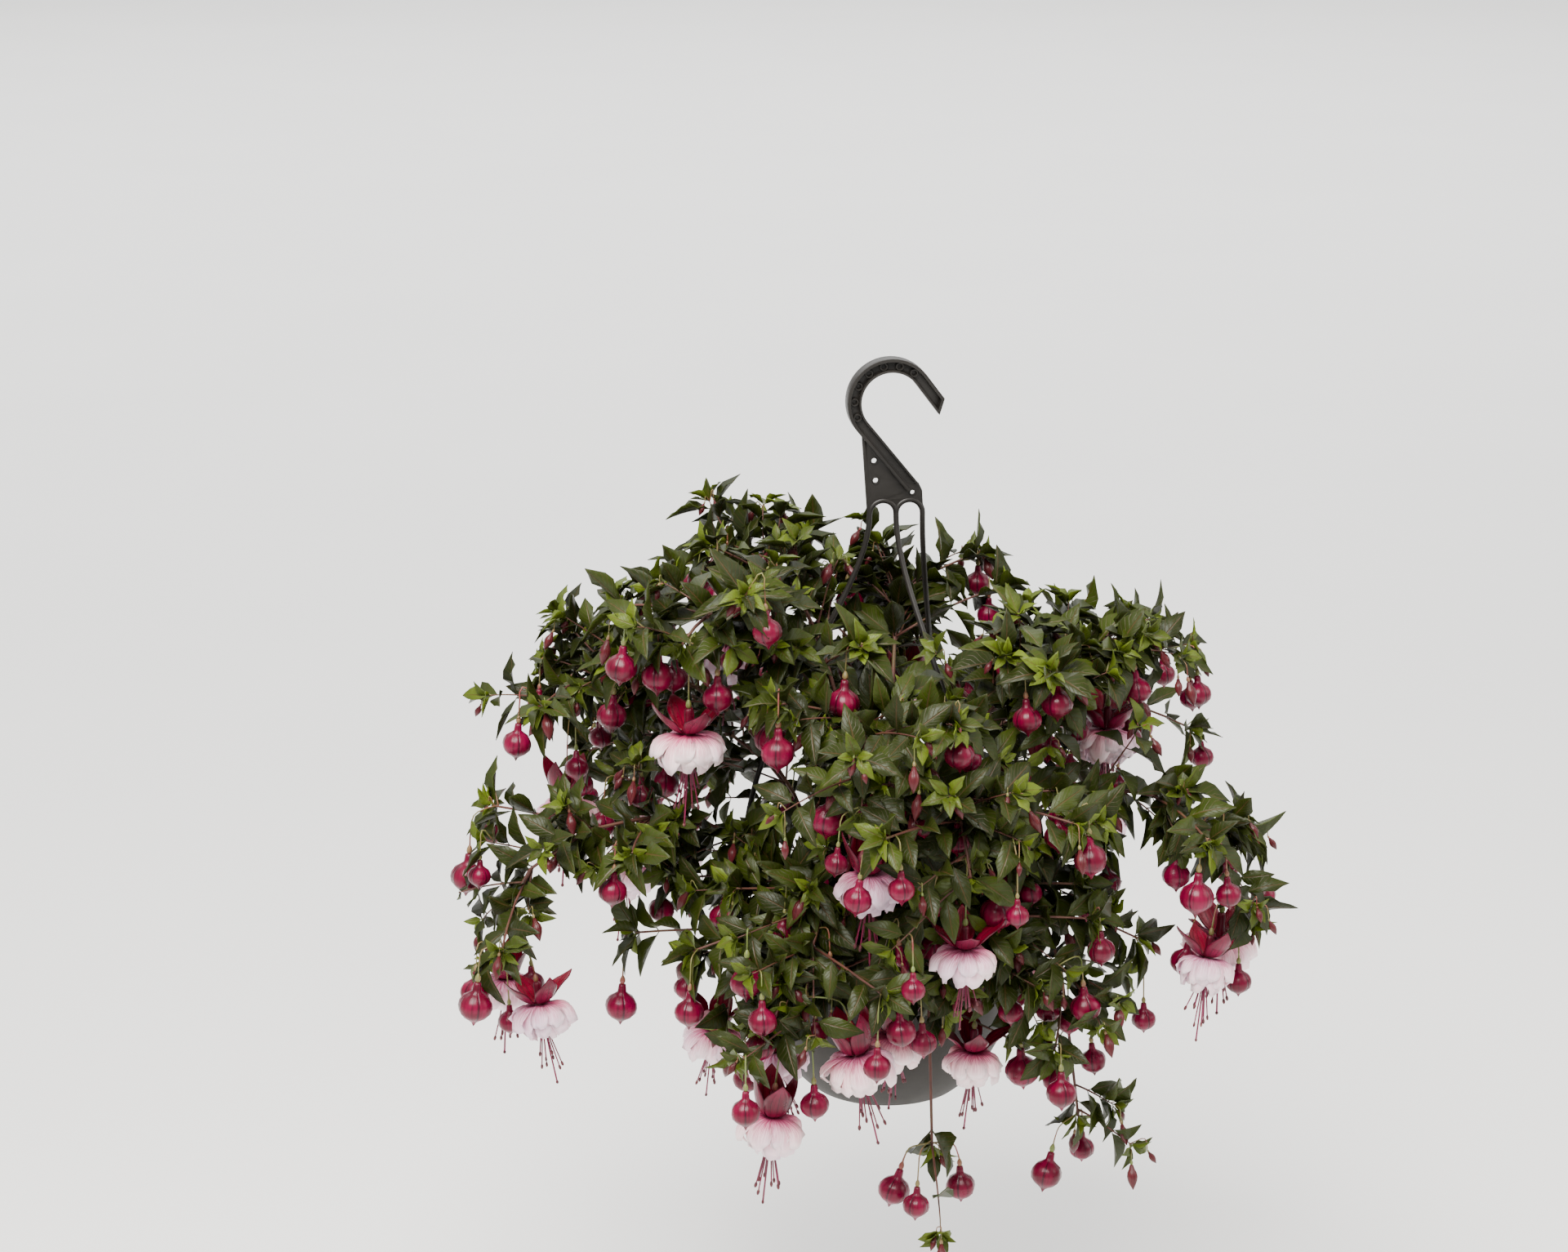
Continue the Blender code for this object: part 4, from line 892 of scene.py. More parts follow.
class Twig:
    """A thin side twig, drawn from its root along a heading, drooping a little at its end."""

    def __init__(self, root, heading, length, radius):
        side = heading.cross(outward(root))
        self.side = side.normalized() if side.length > 0.05 else Vector((1, 0, 0))
        end = root + heading * length - Vector((0, 0, length * 0.16))
        bend = end - heading * length * 0.3 + outward(root) * length * 0.12
        self.points = bezier((root, root + heading * length * 0.4, bend, end), 5)
        self.halves = [radius * (1 - 0.10 * k) for k in range(6)]
        self.joints = [False] * 6


kept_clear = [owner == "hanger" or owner[0] == "flower" for owner in plant.space.owners]
obstacle_centres = plant.space.centres[kept_clear]
obstacle_radii = plant.space.radii[kept_clear]
bush_low = [low - 0.006 for low in Vector(cad_box[0])]
bush_high = [high + 0.006 for high in Vector(cad_box[1])]


def open_air(spots, margin):
    """True if all the spots lie clear of the pot, the rods and the flowers, and inside the bush."""
    for spot in spots:
        if spot.z < rim_z + 0.006 and math.hypot(spot.x, spot.y) < rim_r + 0.004:
            return False
        if any(spot[k] < bush_low[k] or spot[k] > bush_high[k] for k in range(3)):
            return False
        if np.any(np.linalg.norm(obstacle_centres - np.array(spot), axis=1) < obstacle_radii + margin):
            return False
    return True


def smooth_frame(points, share, side):
    """Place, tangent and way across at a share of a line."""
    here = along_curve(points, share)
    tangent = (along_curve(points, share + 0.02) - along_curve(points, share - 0.02)).normalized()
    across = (side - tangent * side.dot(tangent)).normalized()
    return here, tangent, across


crown_shoots = (14, 16, 17)
crown_twigs = 25
other_twigs = 16
twig_r = 0.0010
twigs = [[] for _ in shoots]
for i, stem in enumerate(plant.stems):
    count = crown_twigs if i in crown_shoots else other_twigs
    for k in range(count):
        share = (0.04 if i in crown_shoots else 0.08) + 0.88 * (k + growth.random()) / count
        here, tangent, across = smooth_frame(stem.points, share, stem.side)
        turn = Matrix.Rotation(growth.uniform(0, 2 * math.pi), 3, tangent)
        heading = (turn @ across + tangent * growth.uniform(0.2, 0.9) + outward(here) * 0.8).normalized()
        length = growth.uniform(0.035, 0.100) + max(0.0, 0.40 - share) * 0.12
        twig = Twig(here, heading, length, twig_r)
        if open_air(twig.points[1:], 0.002):
            twigs[i].append(twig)
stem_pieces = []
for i, stem in enumerate(plant.stems):
    runs = [cane_along(stem, 1.22)] + [cane_along(line, 1.25) for line in plant.laterals[i].values()]
    runs += [cane_along(twig, 1.0) for twig in twigs[i]]
    stem_pieces.append(reeds("stems_%02d" % (i + 1), runs, sides=1))
bark = Finish("bark", 0.62)
bark_mottle = bark.noise(40.0, 5.0)
bark.colour(bark.ramp(bark_mottle, [(0.30, (0.045, 0.013, 0.008)), (0.52, (0.080, 0.022, 0.013)),
                                    (0.70, (0.080, 0.050, 0.016))]))
bark.bump(bark.noise(700.0, 3.0), 0.4, 0.0004)
for i, piece in enumerate(stem_pieces):
    piece.data.shade_smooth()
    dress(piece, bark)
    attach(piece, "root")
    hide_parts("shoot_%02d" % (i + 1))

# ------------------------------------------------------------------ leaves
# Opposite ovate leaves on short stalks, drawn out to a point, with a sunk pale midrib and side veins.
# Blades are thin and satiny, dark green when grown and bright green in the young tufts at the tips.
leaf_rows = ((0.00, 0.05), (0.10, 0.06), (0.19, 0.48), (0.33, 0.90), (0.50, 1.00), (0.68, 0.84), (0.86, 0.40),
             (1.00, 0.02))
blade_share = 0.010
stem_leaf_shares = (0.20, 0.28, 0.36, 0.44, 0.52, 0.60, 0.68, 0.76, 0.84, 0.91)
side_leaf_shares = (0.20, 0.38, 0.54, 0.68, 0.82)
twig_leaf_shares = (0.28, 0.56, 0.80)


def thicken(piece, thickness, offset):
    """Give a sheet its thickness, below it at an offset of -1 and on both sides at 0."""
    wall = piece.modifiers.new("thickness", "SOLIDIFY")
    wall.thickness = thickness
    wall.offset = offset
    bpy.ops.object.modifier_apply(modifier=wall.name)


def press_leaf(name, droop, fold, wave, twist):
    """A leaf one unit long and one unit wide, bent from a grid and given its thickness."""
    bpy.ops.object.select_all(action="DESELECT")
    bpy.ops.mesh.primitive_grid_add(x_subdivisions=len(leaf_rows) - 1, y_subdivisions=2, size=1)
    made = bpy.context.object
    made.name = name
    uv = made.data.uv_layers.active
    for loop in made.data.loops:
        x, y, _ = made.data.vertices[loop.vertex_index].co
        uv.data[loop.index].uv = (y + 0.5, leaf_rows[round((x + 0.5) * (len(leaf_rows) - 1))][0])
    for vert in made.data.vertices:
        row = round((vert.co.x + 0.5) * (len(leaf_rows) - 1))
        along, wide = leaf_rows[row]
        y = vert.co.y * wide
        bowed = abs(y) ** 1.2 * fold - droop * along ** 2 + wave * math.sin(9.0 * along + 5.0 * y) * abs(y)
        vert.co = (along * (1 - 0.25 * droop), y * (1 - 0.3 * fold), bowed + twist * y * along)
    thicken(made, blade_share, -1)
    tone = made.data.attributes.new("tone", "FLOAT", "POINT")
    tone.data.foreach_set("value", [0.5] * len(made.data.vertices))
    made.data.shade_smooth()
    return made


leaf_presses = [press_leaf("leaf_a", 0.10, 0.22, 0.10, 0.05), press_leaf("leaf_b", 0.22, 0.30, 0.16, -0.10),
                press_leaf("leaf_c", 0.02, 0.14, 0.12, 0.12), press_leaf("leaf_d", 0.32, 0.18, 0.20, 0.02),
                press_leaf("leaf_e", 0.16, 0.36, 0.06, -0.04)]


def set_leaf(tray, root, along, normal, length, width, tone):
    """A copy of a leaf, set on its stem."""
    place = blade_place(root, along, normal)
    mesh = growth.choice(leaf_presses).data.copy()
    mesh.transform(place @ Matrix.Diagonal((length, width, length, 1)))
    mesh.attributes["tone"].data.foreach_set("value", [tone] * len(mesh.vertices))
    tray.append(bring_in("leaf", mesh))


def add_leaf(tray, root, along, up, length, width, tone):
    """A leaf where its blade hangs clear of pot, rods and flowers; otherwise none."""
    x = along.normalized()
    spots = [root + x * (length * share) for share in (0.45, 0.75, 1.0)]
    if open_air(spots, 0.0035):
        set_leaf(tray, root, along, up, length, width, tone)


def dress_line(tray, points, side, shares, size, tone, thin):
    """Opposite pairs of leaves, each pair turned a quarter from the last, and thinned out by the pot."""
    for rank, share in enumerate(shares):
        here, tangent, across = smooth_frame(points, share, side)
        bare = 0.075 if growth.random() < thin else 0.0125
        if here.z < rim_z + 0.012 and here.xy.length < rim_r + bare:
            continue
        if here.z < rim_z - 0.030 and growth.random() < thin * 0.6:
            continue
        spin = Matrix.Rotation((math.pi / 2 if rank % 2 else 0.0) + growth.uniform(-0.35, 0.35), 3, tangent)
        across = spin @ across
        for hand in (-1, 1):
            length = size * growth.uniform(0.78, 1.12)
            along = across * hand + tangent * growth.uniform(0.25, 0.75)
            along += outward(here) * growth.uniform(0.0, 0.35)
            along.z -= growth.uniform(0.0, 0.35)
            up = (outward(here) + tangent * 0.3).normalized()
            if abs(along.normalized().dot(up)) > 0.9:
                up = (up + across.cross(tangent) * 0.6).normalized()
            width = length * growth.uniform(0.36, 0.46)
            add_leaf(tray, here, along, up, length, width, tone + growth.uniform(-0.16, 0.16))


def tuft(tray, points, side, count, size, tone):
    """A tuft of young leaves round the end of a stem."""
    here, tangent, across = smooth_frame(points, 0.985, side)
    for k in range(count):
        spin = Matrix.Rotation(2.4 * k + growth.uniform(-0.3, 0.3), 3, tangent)
        length = size * growth.uniform(0.70, 1.15) * (1.0 - 0.05 * k)
        along = spin @ across + tangent * growth.uniform(0.45, 1.30)
        up = (tangent * 0.9 + outward(here) * 0.5).normalized()
        add_leaf(tray, here, along, up, length, length * 0.45, tone + growth.uniform(-0.10, 0.15))


leaf_pieces = []
for i, stem in enumerate(plant.stems):
    tray = []
    for leaf in plant.leaves[i].values():
        along, normal = leaf.place.col[0].xyz, leaf.place.col[2].xyz
        tone = 0.45 + growth.uniform(-0.2, 0.2)
        set_leaf(tray, leaf.place.translation, along, normal, leaf.length, leaf.width * 0.90, tone)
    dress_line(tray, stem.points, stem.side, stem_leaf_shares, size=0.055, tone=0.32, thin=0.0)
    tuft(tray, stem.points, stem.side, count=7, size=0.030, tone=0.78)
    for line in plant.laterals[i].values():
        dress_line(tray, line.points, line.side, side_leaf_shares, size=0.047, tone=0.38, thin=0.6)
        tuft(tray, line.points, line.side, count=6, size=0.028, tone=0.80)
    for twig in twigs[i]:
        dress_line(tray, twig.points, twig.side, twig_leaf_shares, size=0.044, tone=0.34, thin=0.8)
        tuft(tray, twig.points, twig.side, count=5, size=0.028, tone=0.70)
    leaf_pieces.append(join(tray, "leaves_%02d" % (i + 1)))
for press in leaf_presses:
    bpy.data.objects.remove(press)

leaf_skin = Finish("leaf_skin", 0.42)
leaf_uv = leaf_skin.node("SeparateXYZ", Vector=leaf_skin.node("TexCoord").outputs["UV"])
leaf_across, leaf_along = leaf_uv.outputs[0], leaf_uv.outputs[1]
from_rib = leaf_skin.math("ABSOLUTE", leaf_skin.math("SUBTRACT", leaf_across, 0.5))
rib = leaf_skin.fall(from_rib, 0.012, 0.050, 1.0)
vein_run = leaf_skin.math("SUBTRACT", leaf_skin.math("MULTIPLY", leaf_along, 9.0),
                          leaf_skin.math("MULTIPLY", from_rib, 5.0))
vein_gap = leaf_skin.math("ABSOLUTE", leaf_skin.math("SUBTRACT", leaf_skin.math("FRACT", vein_run, 0.0), 0.5))
vein = leaf_skin.fall(vein_gap, 0.0, 0.11, 0.55)
veins = leaf_skin.math("MAXIMUM", rib, vein)
leaf_tone = leaf_skin.node("Attribute", {"attribute_name": "tone"}).outputs["Fac"]
leaf_cloud = leaf_skin.math("MULTIPLY", leaf_skin.math("SUBTRACT", leaf_skin.noise(45.0, 3.0), 0.5), 0.35)
leaf_shade = leaf_skin.math("ADD", leaf_tone, leaf_cloud)
leaf_green = leaf_skin.ramp(leaf_shade, [(0.05, (0.0065, 0.0100, 0.0010)), (0.35, (0.016, 0.0235, 0.0018)),
                                         (0.62, (0.035, 0.0520, 0.0035)), (1.00, (0.118, 0.1680, 0.010))])
leaf_skin.colour(leaf_skin.mix(veins, leaf_green, leaf_skin.mix(0.55, leaf_green, (0.085, 0.040, 0.018))))
leaf_skin.bump(leaf_skin.math("SUBTRACT", leaf_skin.noise(220.0, 2.0), veins), 0.45, 0.0008)
leaf_skin.rough(leaf_skin.noise(60.0), 0.32, 0.50)
leaf_skin.shader.inputs["Specular IOR Level"].default_value = 0.22
for i, piece in enumerate(leaf_pieces):
    dress(piece, leaf_skin)
    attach(piece, "root")
    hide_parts("shoot_%02d" % (i + 1))

# ------------------------------------------------------------------ sprays
# Flowers hang on thin stalks under each shoot's tip: a green ovary, a glossy crimson tube and four broad
# sepals thrown back over the corolla, or a fat closed bud with four seams. Young buds are small and dusky.
flower_draw = random.Random(7)


def fleshy(name, profile, sides, lobes, dusk):
    """A closed round form through heights and radii, with four shallow seams, wrapped for its streaks."""
    made = throw(name, [(radius, z) for z, radius in profile], sides)
    mesh = made.data
    top, low = profile[0][0], profile[-1][0]
    wrap = mesh.uv_layers.active or mesh.uv_layers.new(name="UVMap")
    for polygon in mesh.polygons:
        middle = math.atan2(polygon.center.y, polygon.center.x)
        for loop in polygon.loop_indices:
            x, y, z = mesh.vertices[mesh.loops[loop].vertex_index].co
            swing = (math.atan2(y, x) - middle + math.pi) % (2 * math.pi) - math.pi
            wrap.data[loop].uv = ((middle + swing) / (2 * math.pi) + 0.5, (top - z) / (top - low))
    for vert in mesh.vertices:
        angle = math.atan2(vert.co.y, vert.co.x)
        press = 1.0 - lobes * min(1.0, vert.co.xy.length / 0.010) * (1 - abs(math.sin(angle * 2))) ** 4
        vert.co.x *= press
        vert.co.y *= press
    mark_flesh(mesh, dusk)
    mesh.shade_smooth()
    return made


def mark_flesh(mesh, dusk, inner=None):
    """How dusky the flesh is, and which points lie on a sepal's inner face."""
    count = len(mesh.vertices)
    mesh.attributes.new("dusk", "FLOAT", "POINT").data.foreach_set("value", [dusk] * count)
    mesh.attributes.new("inner", "FLOAT", "POINT").data.foreach_set("value", inner or [0.0] * count)


ovary_form = ((0.0012, 0.0005), (0.0004, 0.0012), (-0.0022, 0.0025), (-0.0045, 0.0027), (-0.0066, 0.0018),
              (-0.0072, 0.0006))
tube_form = ((-0.0064, 0.0008), (-0.0068, 0.0024), (-0.0082, 0.0036), (-0.0110, 0.0038), (-0.0170, 0.0036),
             (-0.0220, 0.0040), (-0.0260, 0.0050), (-0.0290, 0.0062), (-0.0304, 0.0056), (-0.0306, 0.0010))
fat_form = ((-0.0064, 0.0010), (-0.0074, 0.0032), (-0.0105, 0.0037), (-0.0145, 0.0041), (-0.0170, 0.0072),
            (-0.0202, 0.0119), (-0.0245, 0.0143), (-0.0290, 0.0149), (-0.0338, 0.0137), (-0.0378, 0.0100),
            (-0.0408, 0.0050), (-0.0430, 0.0021), (-0.0462, 0.0003))
young_form = ((-0.0064, 0.0012), (-0.0080, 0.0031), (-0.0130, 0.0045), (-0.0185, 0.0078), (-0.0245, 0.0089),
              (-0.0310, 0.0074), (-0.0375, 0.0041), (-0.0440, 0.0004))
ovary = fleshy("ovary", ovary_form, sides=8, lobes=0.0, dusk=0.0)
flower_tube = fleshy("flower_tube", tube_form, sides=20, lobes=0.12, dusk=0.22)
fat_bud = fleshy("fat_bud", fat_form, sides=16, lobes=0.075, dusk=0.0)
young_bud = fleshy("young_bud", young_form, sides=8, lobes=0.10, dusk=0.85)
sepal_shares = (0.0, 0.10, 0.22, 0.36, 0.50, 0.64, 0.78, 0.90, 1.0)
sepal_widths = (0.42, 0.58, 0.80, 0.97, 1.00, 0.90, 0.64, 0.32, 0.02)
sepal_flesh = 0.0008
sepal_stride = 0.0035
bud_girths = {"fat": 0.0150, "young": 0.0088}
bud_length = 0.046


def lay_sepal(lift, curl):
    """One sepal of a bloom, out along +X from the tube's rim, thrown back and curled at its point."""
    steps = 12
    bpy.ops.object.select_all(action="DESELECT")
    bpy.ops.mesh.primitive_grid_add(x_subdivisions=steps, y_subdivisions=6, size=1)
    made = bpy.context.object
    mesh = made.data
    for loop in mesh.loops:
        x, y, _ = mesh.vertices[loop.vertex_index].co
        mesh.uv_layers.active.data[loop.index].uv = (y + 0.5, x + 0.5)
    run = [(0.0050, mouth_z + 0.0030)]
    for k in range(steps):
        slope = math.radians(lift * min(1.0, 0.30 + k / 4) + curl * max(0.0, (k - 3) / (steps - 4)))
        run.append((run[-1][0] + sepal_stride * math.cos(slope), run[-1][1] + sepal_stride * math.sin(slope)))
    for vert in mesh.vertices:
        share = vert.co.x + 0.5
        rank = min(steps - 1, int(share * steps + 0.001))
        part = share * steps - rank
        (x0, z0), (x1, z1) = run[rank], run[rank + 1]
        slope = math.atan2(z1 - z0, x1 - x0)
        y = vert.co.y * sepal_width * 1.18 * float(np.interp(share, sepal_shares, sepal_widths))
        cup = (y / (sepal_width / 2)) ** 2 * 0.0034 * math.sin(math.pi * min(1.0, 0.25 + share * 0.75))
        x = x0 + (x1 - x0) * part - cup * math.sin(slope)
        vert.co = (x, y, z0 + (z1 - z0) * part + cup * math.cos(slope))
    count = len(mesh.vertices)
    thicken(made, sepal_flesh, -1)
    mark_flesh(mesh, 0.0, [1.0] * count + [0.0] * (len(mesh.vertices) - count))
    mesh.shade_smooth()
    return made


sepal_shapes = {lift: [lay_sepal(lift + 12, curl) for curl in (-4, 10, 28)] for lift in sepal_lifts}


def set_copy(tray, shape, place):
    """A copy of a shape with its own mesh, set in its place."""
    mesh = shape.data.copy()
    mesh.transform(place)
    tray.append(bring_in("copy", mesh))


def stalk_run(points):
    """A stalk's own curve: out of its joint and down to the flower."""
    start, middle, end = points
    bow = middle - (start + end) / 2
    return [start, start.lerp(middle, 0.5) + bow * 0.15, middle, middle.lerp(end, 0.5) + bow * 0.10, end]


def hang_bud(tray, line, share, kind, size, length):
    """A bud on its stalk from a shoot's tip, on the open side of the bush, where it hangs clear."""
    here, tangent, across = smooth_frame(line.points, share, line.side)
    heading = Matrix.Rotation(growth.uniform(0, 6.3), 3, tangent) @ across
    heading = (heading + outward(here) * 0.7 + tangent * 0.3).normalized()
    end = here + heading * length * 0.75 - Vector((0, 0, length * (0.55 if kind == "young" else 0.75)))
    spots = [end - Vector((0, 0, bud_length * size * part)) for part in (0.2, 0.5, 0.95)]
    girth = bud_girths[kind] * size
    if not open_air(spots, girth + 0.001):
        return
    if any((spot - other).length < girth + thick for other, thick in bud_spots for spot in spots):
        return
    tray.append(((here, here + heading * length * 0.62, end), kind, size, heading))
    bud_spots.extend((spot, girth) for spot in spots)


def hang_buds(tray, line, kind, count, shares, sizes, lengths):
    """Some buds of one kind along a shoot; the pairs are the ranges that place, size and stalk come from."""
    for _ in range(count):
        share = growth.uniform(*shares)
        size = growth.uniform(*sizes)
        hang_bud(tray, line, share, kind, size, growth.uniform(*lengths))


extra_buds = [[] for _ in shoots]
bud_spots = []
for tray, stem, side_shoots, own_twigs in zip(extra_buds, plant.stems, plant.laterals, twigs):
    for line in [stem] + list(side_shoots.values()):
        low_down = line.points[-1].z < rim_z + 0.02
        count = growth.choice((3, 4) if low_down else (1, 2, 2, 3))
        hang_buds(tray, line, "fat", count, (0.60, 0.97), (0.74, 1.05), (0.020, 0.042))
        hang_buds(tray, line, "young", growth.choice((2, 3, 4)), (0.86, 0.99), (0.34, 0.74), (0.010, 0.028))
    for twig in own_twigs:
        if growth.random() < 0.34:
            hang_buds(tray, twig, "fat", 1, (0.70, 0.97), (0.64, 1.0), (0.020, 0.036))
        hang_buds(tray, twig, "young", growth.choice((1, 2, 3)), (0.90, 0.99), (0.28, 0.62), (0.008, 0.022))

stalk_pieces = []
calyx_pieces = []
for i, flowers in enumerate(plant.flowers):
    stalks = [(stalk_run(points), [stalk_r * 1.15, stalk_r, stalk_r * 0.9, stalk_r * 0.9, stalk_r * 1.2])
              for _, points, _, _ in flowers.values()]
    stalks += [(stalk_run(points), [stalk_r * (0.9 if kind == "fat" else 0.65)] * 5)
               for points, kind, _, _ in extra_buds[i]]
    if shoots[i][4]:
        centre, tangent = plant.yokes[i]
        yoke = [centre - tangent * (yoke_run / 2), centre, centre + tangent * (yoke_run / 2)]
        stalks.append((yoke, [0.0012, 0.0017, 0.0012]))
    green = [reeds("stalks", stalks, sides=0)]
    mark_flesh(green[0].data, 0.0)
    green[0].data.uv_layers.new(name="UVMap")
    red = []
    for kind, _, place, lift in flowers.values():
        set_copy(green, ovary, place)
        if kind == "bud":
            set_copy(red, fat_bud, place)
            continue
        set_copy(red, flower_tube, place)
        for quarter in range(4):
            turn = Matrix.Rotation(math.pi / 2 * quarter + flower_draw.uniform(-0.06, 0.06), 4, "Z")
            set_copy(red, flower_draw.choice(sepal_shapes[lift]), place @ turn)
    for points, kind, size, heading in extra_buds[i]:
        axis = (Vector((0, 0, 1)) - heading * (0.55 if kind == "young" else 0.12)).normalized()
        turn = axis.to_track_quat("Z", "Y").to_matrix().to_4x4()
        place = Matrix.Translation(points[2]) @ turn @ Matrix.Scale(size, 4)
        set_copy(green, ovary, place)
        set_copy(red, fat_bud if kind == "fat" else young_bud, place)
    stalk_pieces.append(join(green, "stalks_%02d" % (i + 1)))
    calyx_pieces.append(join(red, "calyces_%02d" % (i + 1)))
for shape in [ovary, flower_tube, fat_bud, young_bud] + sum(sepal_shapes.values(), []):
    bpy.data.objects.remove(shape)
stalk_skin = Finish("stalk_skin", 0.45)
stalk_mottle = stalk_skin.noise(38.0, 3.0)
stalk_skin.colour(stalk_skin.ramp(stalk_mottle, [(0.36, (0.120, 0.160, 0.035)), (0.52, (0.160, 0.120, 0.040)),
                                                 (0.68, (0.200, 0.035, 0.035))]))
stalk_skin.bump(stalk_skin.noise(900.0, 2.0), 0.2, 0.0003)
sepal_skin = Finish("sepal_skin", 0.30)
sepal_cloud = sepal_skin.noise(55.0, 4.0)
outer_face = sepal_skin.ramp(sepal_cloud, [(0.28, (0.064, 0.0001, 0.0085)), (0.50, (0.120, 0.0001, 0.0185)),
                                           (0.74, (0.190, 0.0006, 0.036))])
inner_face = sepal_skin.ramp(sepal_cloud, [(0.28, (0.130, 0.0001, 0.009)), (0.50, (0.205, 0.0001, 0.018)),
                                           (0.74, (0.280, 0.001, 0.032))])
sepal_inner = sepal_skin.node("Attribute", {"attribute_name": "inner"}).outputs["Fac"]
sepal_dusk = sepal_skin.node("Attribute", {"attribute_name": "dusk"}).outputs["Fac"]
sepal_red = sepal_skin.mix(sepal_inner, outer_face, inner_face)
sepal_uv = sepal_skin.node("TexCoord").outputs["UV"]
streak_map = sepal_skin.node("Mapping", {"Scale": (34.0, 1.2, 1.0)}, Vector=sepal_uv)
streaks = sepal_skin.noise(1.0, 3.0, streak_map.outputs[0])
streak_share = sepal_skin.node("MapRange", {"From Min": 0.45, "From Max": 0.70, "To Max": 0.55}, Value=streaks)
streaked = sepal_skin.mix(streak_share.outputs[0], sepal_red, (0.030, 0.0001, 0.006))
round_share = sepal_skin.node("SeparateXYZ", Vector=sepal_uv).outputs[0]
quarters = sepal_skin.math("ADD", sepal_skin.math("MULTIPLY", round_share, 4.0), 0.5)
quarter_share = sepal_skin.math("FRACT", quarters, 0.0)
from_seam = sepal_skin.math("ABSOLUTE", sepal_skin.math("SUBTRACT", quarter_share, 0.5))
seam = sepal_skin.fall(from_seam, 0.012, 0.070, 0.85)
seamed = sepal_skin.mix(seam, streaked, (0.020, 0.0001, 0.005))
dusky = sepal_skin.ramp(streaks, [(0.30, (0.090, 0.020, 0.016)), (0.60, (0.048, 0.006, 0.009)),
                                  (0.80, (0.024, 0.002, 0.005))])
sepal_skin.colour(sepal_skin.mix(sepal_dusk, seamed, dusky))
sepal_skin.bump(sepal_skin.math("SUBTRACT", streaks, seam), 0.40, 0.0007)
sepal_skin.rough(sepal_skin.noise(80.0), 0.22, 0.36)
sepal_skin.shader.inputs["Specular IOR Level"].default_value = 0.26
spray_hosts = [i for i, row in enumerate(shoots) if row[4]]
for i in range(len(shoots)):
    node = "spray_%02d" % (spray_hosts.index(i) + 1) if i in spray_hosts else "shoot_%02d" % (i + 1)
    for piece, finish in ((stalk_pieces[i], stalk_skin), (calyx_pieces[i], sepal_skin)):
        dress(piece, finish)
        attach(piece, "root")
        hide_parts(node)

# ------------------------------------------------------------------ blooms
# Each open flower has a double skirt of pale petals, broad, overlapping and ruffled at their edges, with
# red veins that run from their foot. Under them hang crimson stamens with dark anthers and the long style.
corolla_top = mouth_z - gap
petal_layers = (  # how many, foot, spread, drop, width, flare, ruffle
    (8, 0.0048, 0.0245, 0.0210, 0.0205, 0.0020, 0.0022), (8, 0.0044, 0.0215, 0.0280, 0.0200, 0.0010, 0.0022),
    (6, 0.0038, 0.0155, 0.0325, 0.0180, 0.0008, 0.0020), (4, 0.0028, 0.0090, 0.0335, 0.0150, 0.0004, 0.0016))
petal_body = 0.00045
filament_count = 8


def lay_petal(bed, azimuth, foot, spread, drop, width, flare, ruffle, phase):
    """A petal from a grid: out over the tube's rim and down, cupped, round ended and ruffled at its edge."""
    bpy.ops.object.select_all(action="DESELECT")
    bpy.ops.mesh.primitive_grid_add(x_subdivisions=6, y_subdivisions=6, size=1)
    made = bpy.context.object
    mesh = made.data
    for loop in mesh.loops:
        x, y, _ = mesh.vertices[loop.vertex_index].co
        mesh.uv_layers.active.data[loop.index].uv = (x + 0.5, y + 0.5)
    for vert in mesh.vertices:
        across = vert.co.x * 2
        along = vert.co.y + 0.5
        reach = along * (1.0 - 0.30 * abs(across) ** 2.4)
        half = width / 2 * (0.26 + 0.74 * math.sin(min(1.0, along * 1.45) * math.pi / 2))
        edge = max(abs(across) ** 3 * along, along ** 5)
        wave = ruffle * edge * math.sin(across * 4.2 + phase)
        wave += ruffle * 0.5 * edge * math.sin(across * 9.0 + 2 * phase)
        cup = 0.0058 * (0.75 - across * across) * math.sin(math.pi * min(1.0, 0.15 + along * 0.80))
        cup += 0.0013 * across
        roll = max(0.0, reach - 0.62)
        radius = foot + (spread - foot) * math.sin(reach * 2.05) ** 0.72 + flare * roll ** 1.4 * 4.0
        radius = radius + cup + wave
        height = corolla_top + 0.0008 - drop * (1 - math.cos(reach * math.pi / 2)) ** 0.80
        height = height + wave * 0.5 + cup * 0.4
        angle = azimuth + across * half / max(radius, 0.0065)
        vert.co = (radius * math.cos(angle), radius * math.sin(angle), height)
    thicken(made, petal_body, 0)
    mesh.shade_smooth()
    bed.append(made)


def lay_corolla(name, fullness, seed):
    """A whole skirt, layer inside layer, down to the rolled petals round the stamens."""
    petal_draw = random.Random(seed)
    bed = []
    for layer, (count, foot, spread, drop, width, flare, ruffle) in enumerate(petal_layers):
        for k in range(count):
            azimuth = 2 * math.pi * (k + 0.5 * layer) / count + petal_draw.uniform(-0.22, 0.22)
            lay_petal(bed, azimuth, foot, spread * fullness * petal_draw.uniform(0.88, 1.10),
                      drop * petal_draw.uniform(0.82, 1.08), width * petal_draw.uniform(0.85, 1.15),
                      flare * petal_draw.uniform(0.3, 1.6), ruffle * petal_draw.uniform(0.6, 1.6),
                      petal_draw.uniform(0, 6.3))
    return join(bed, name)


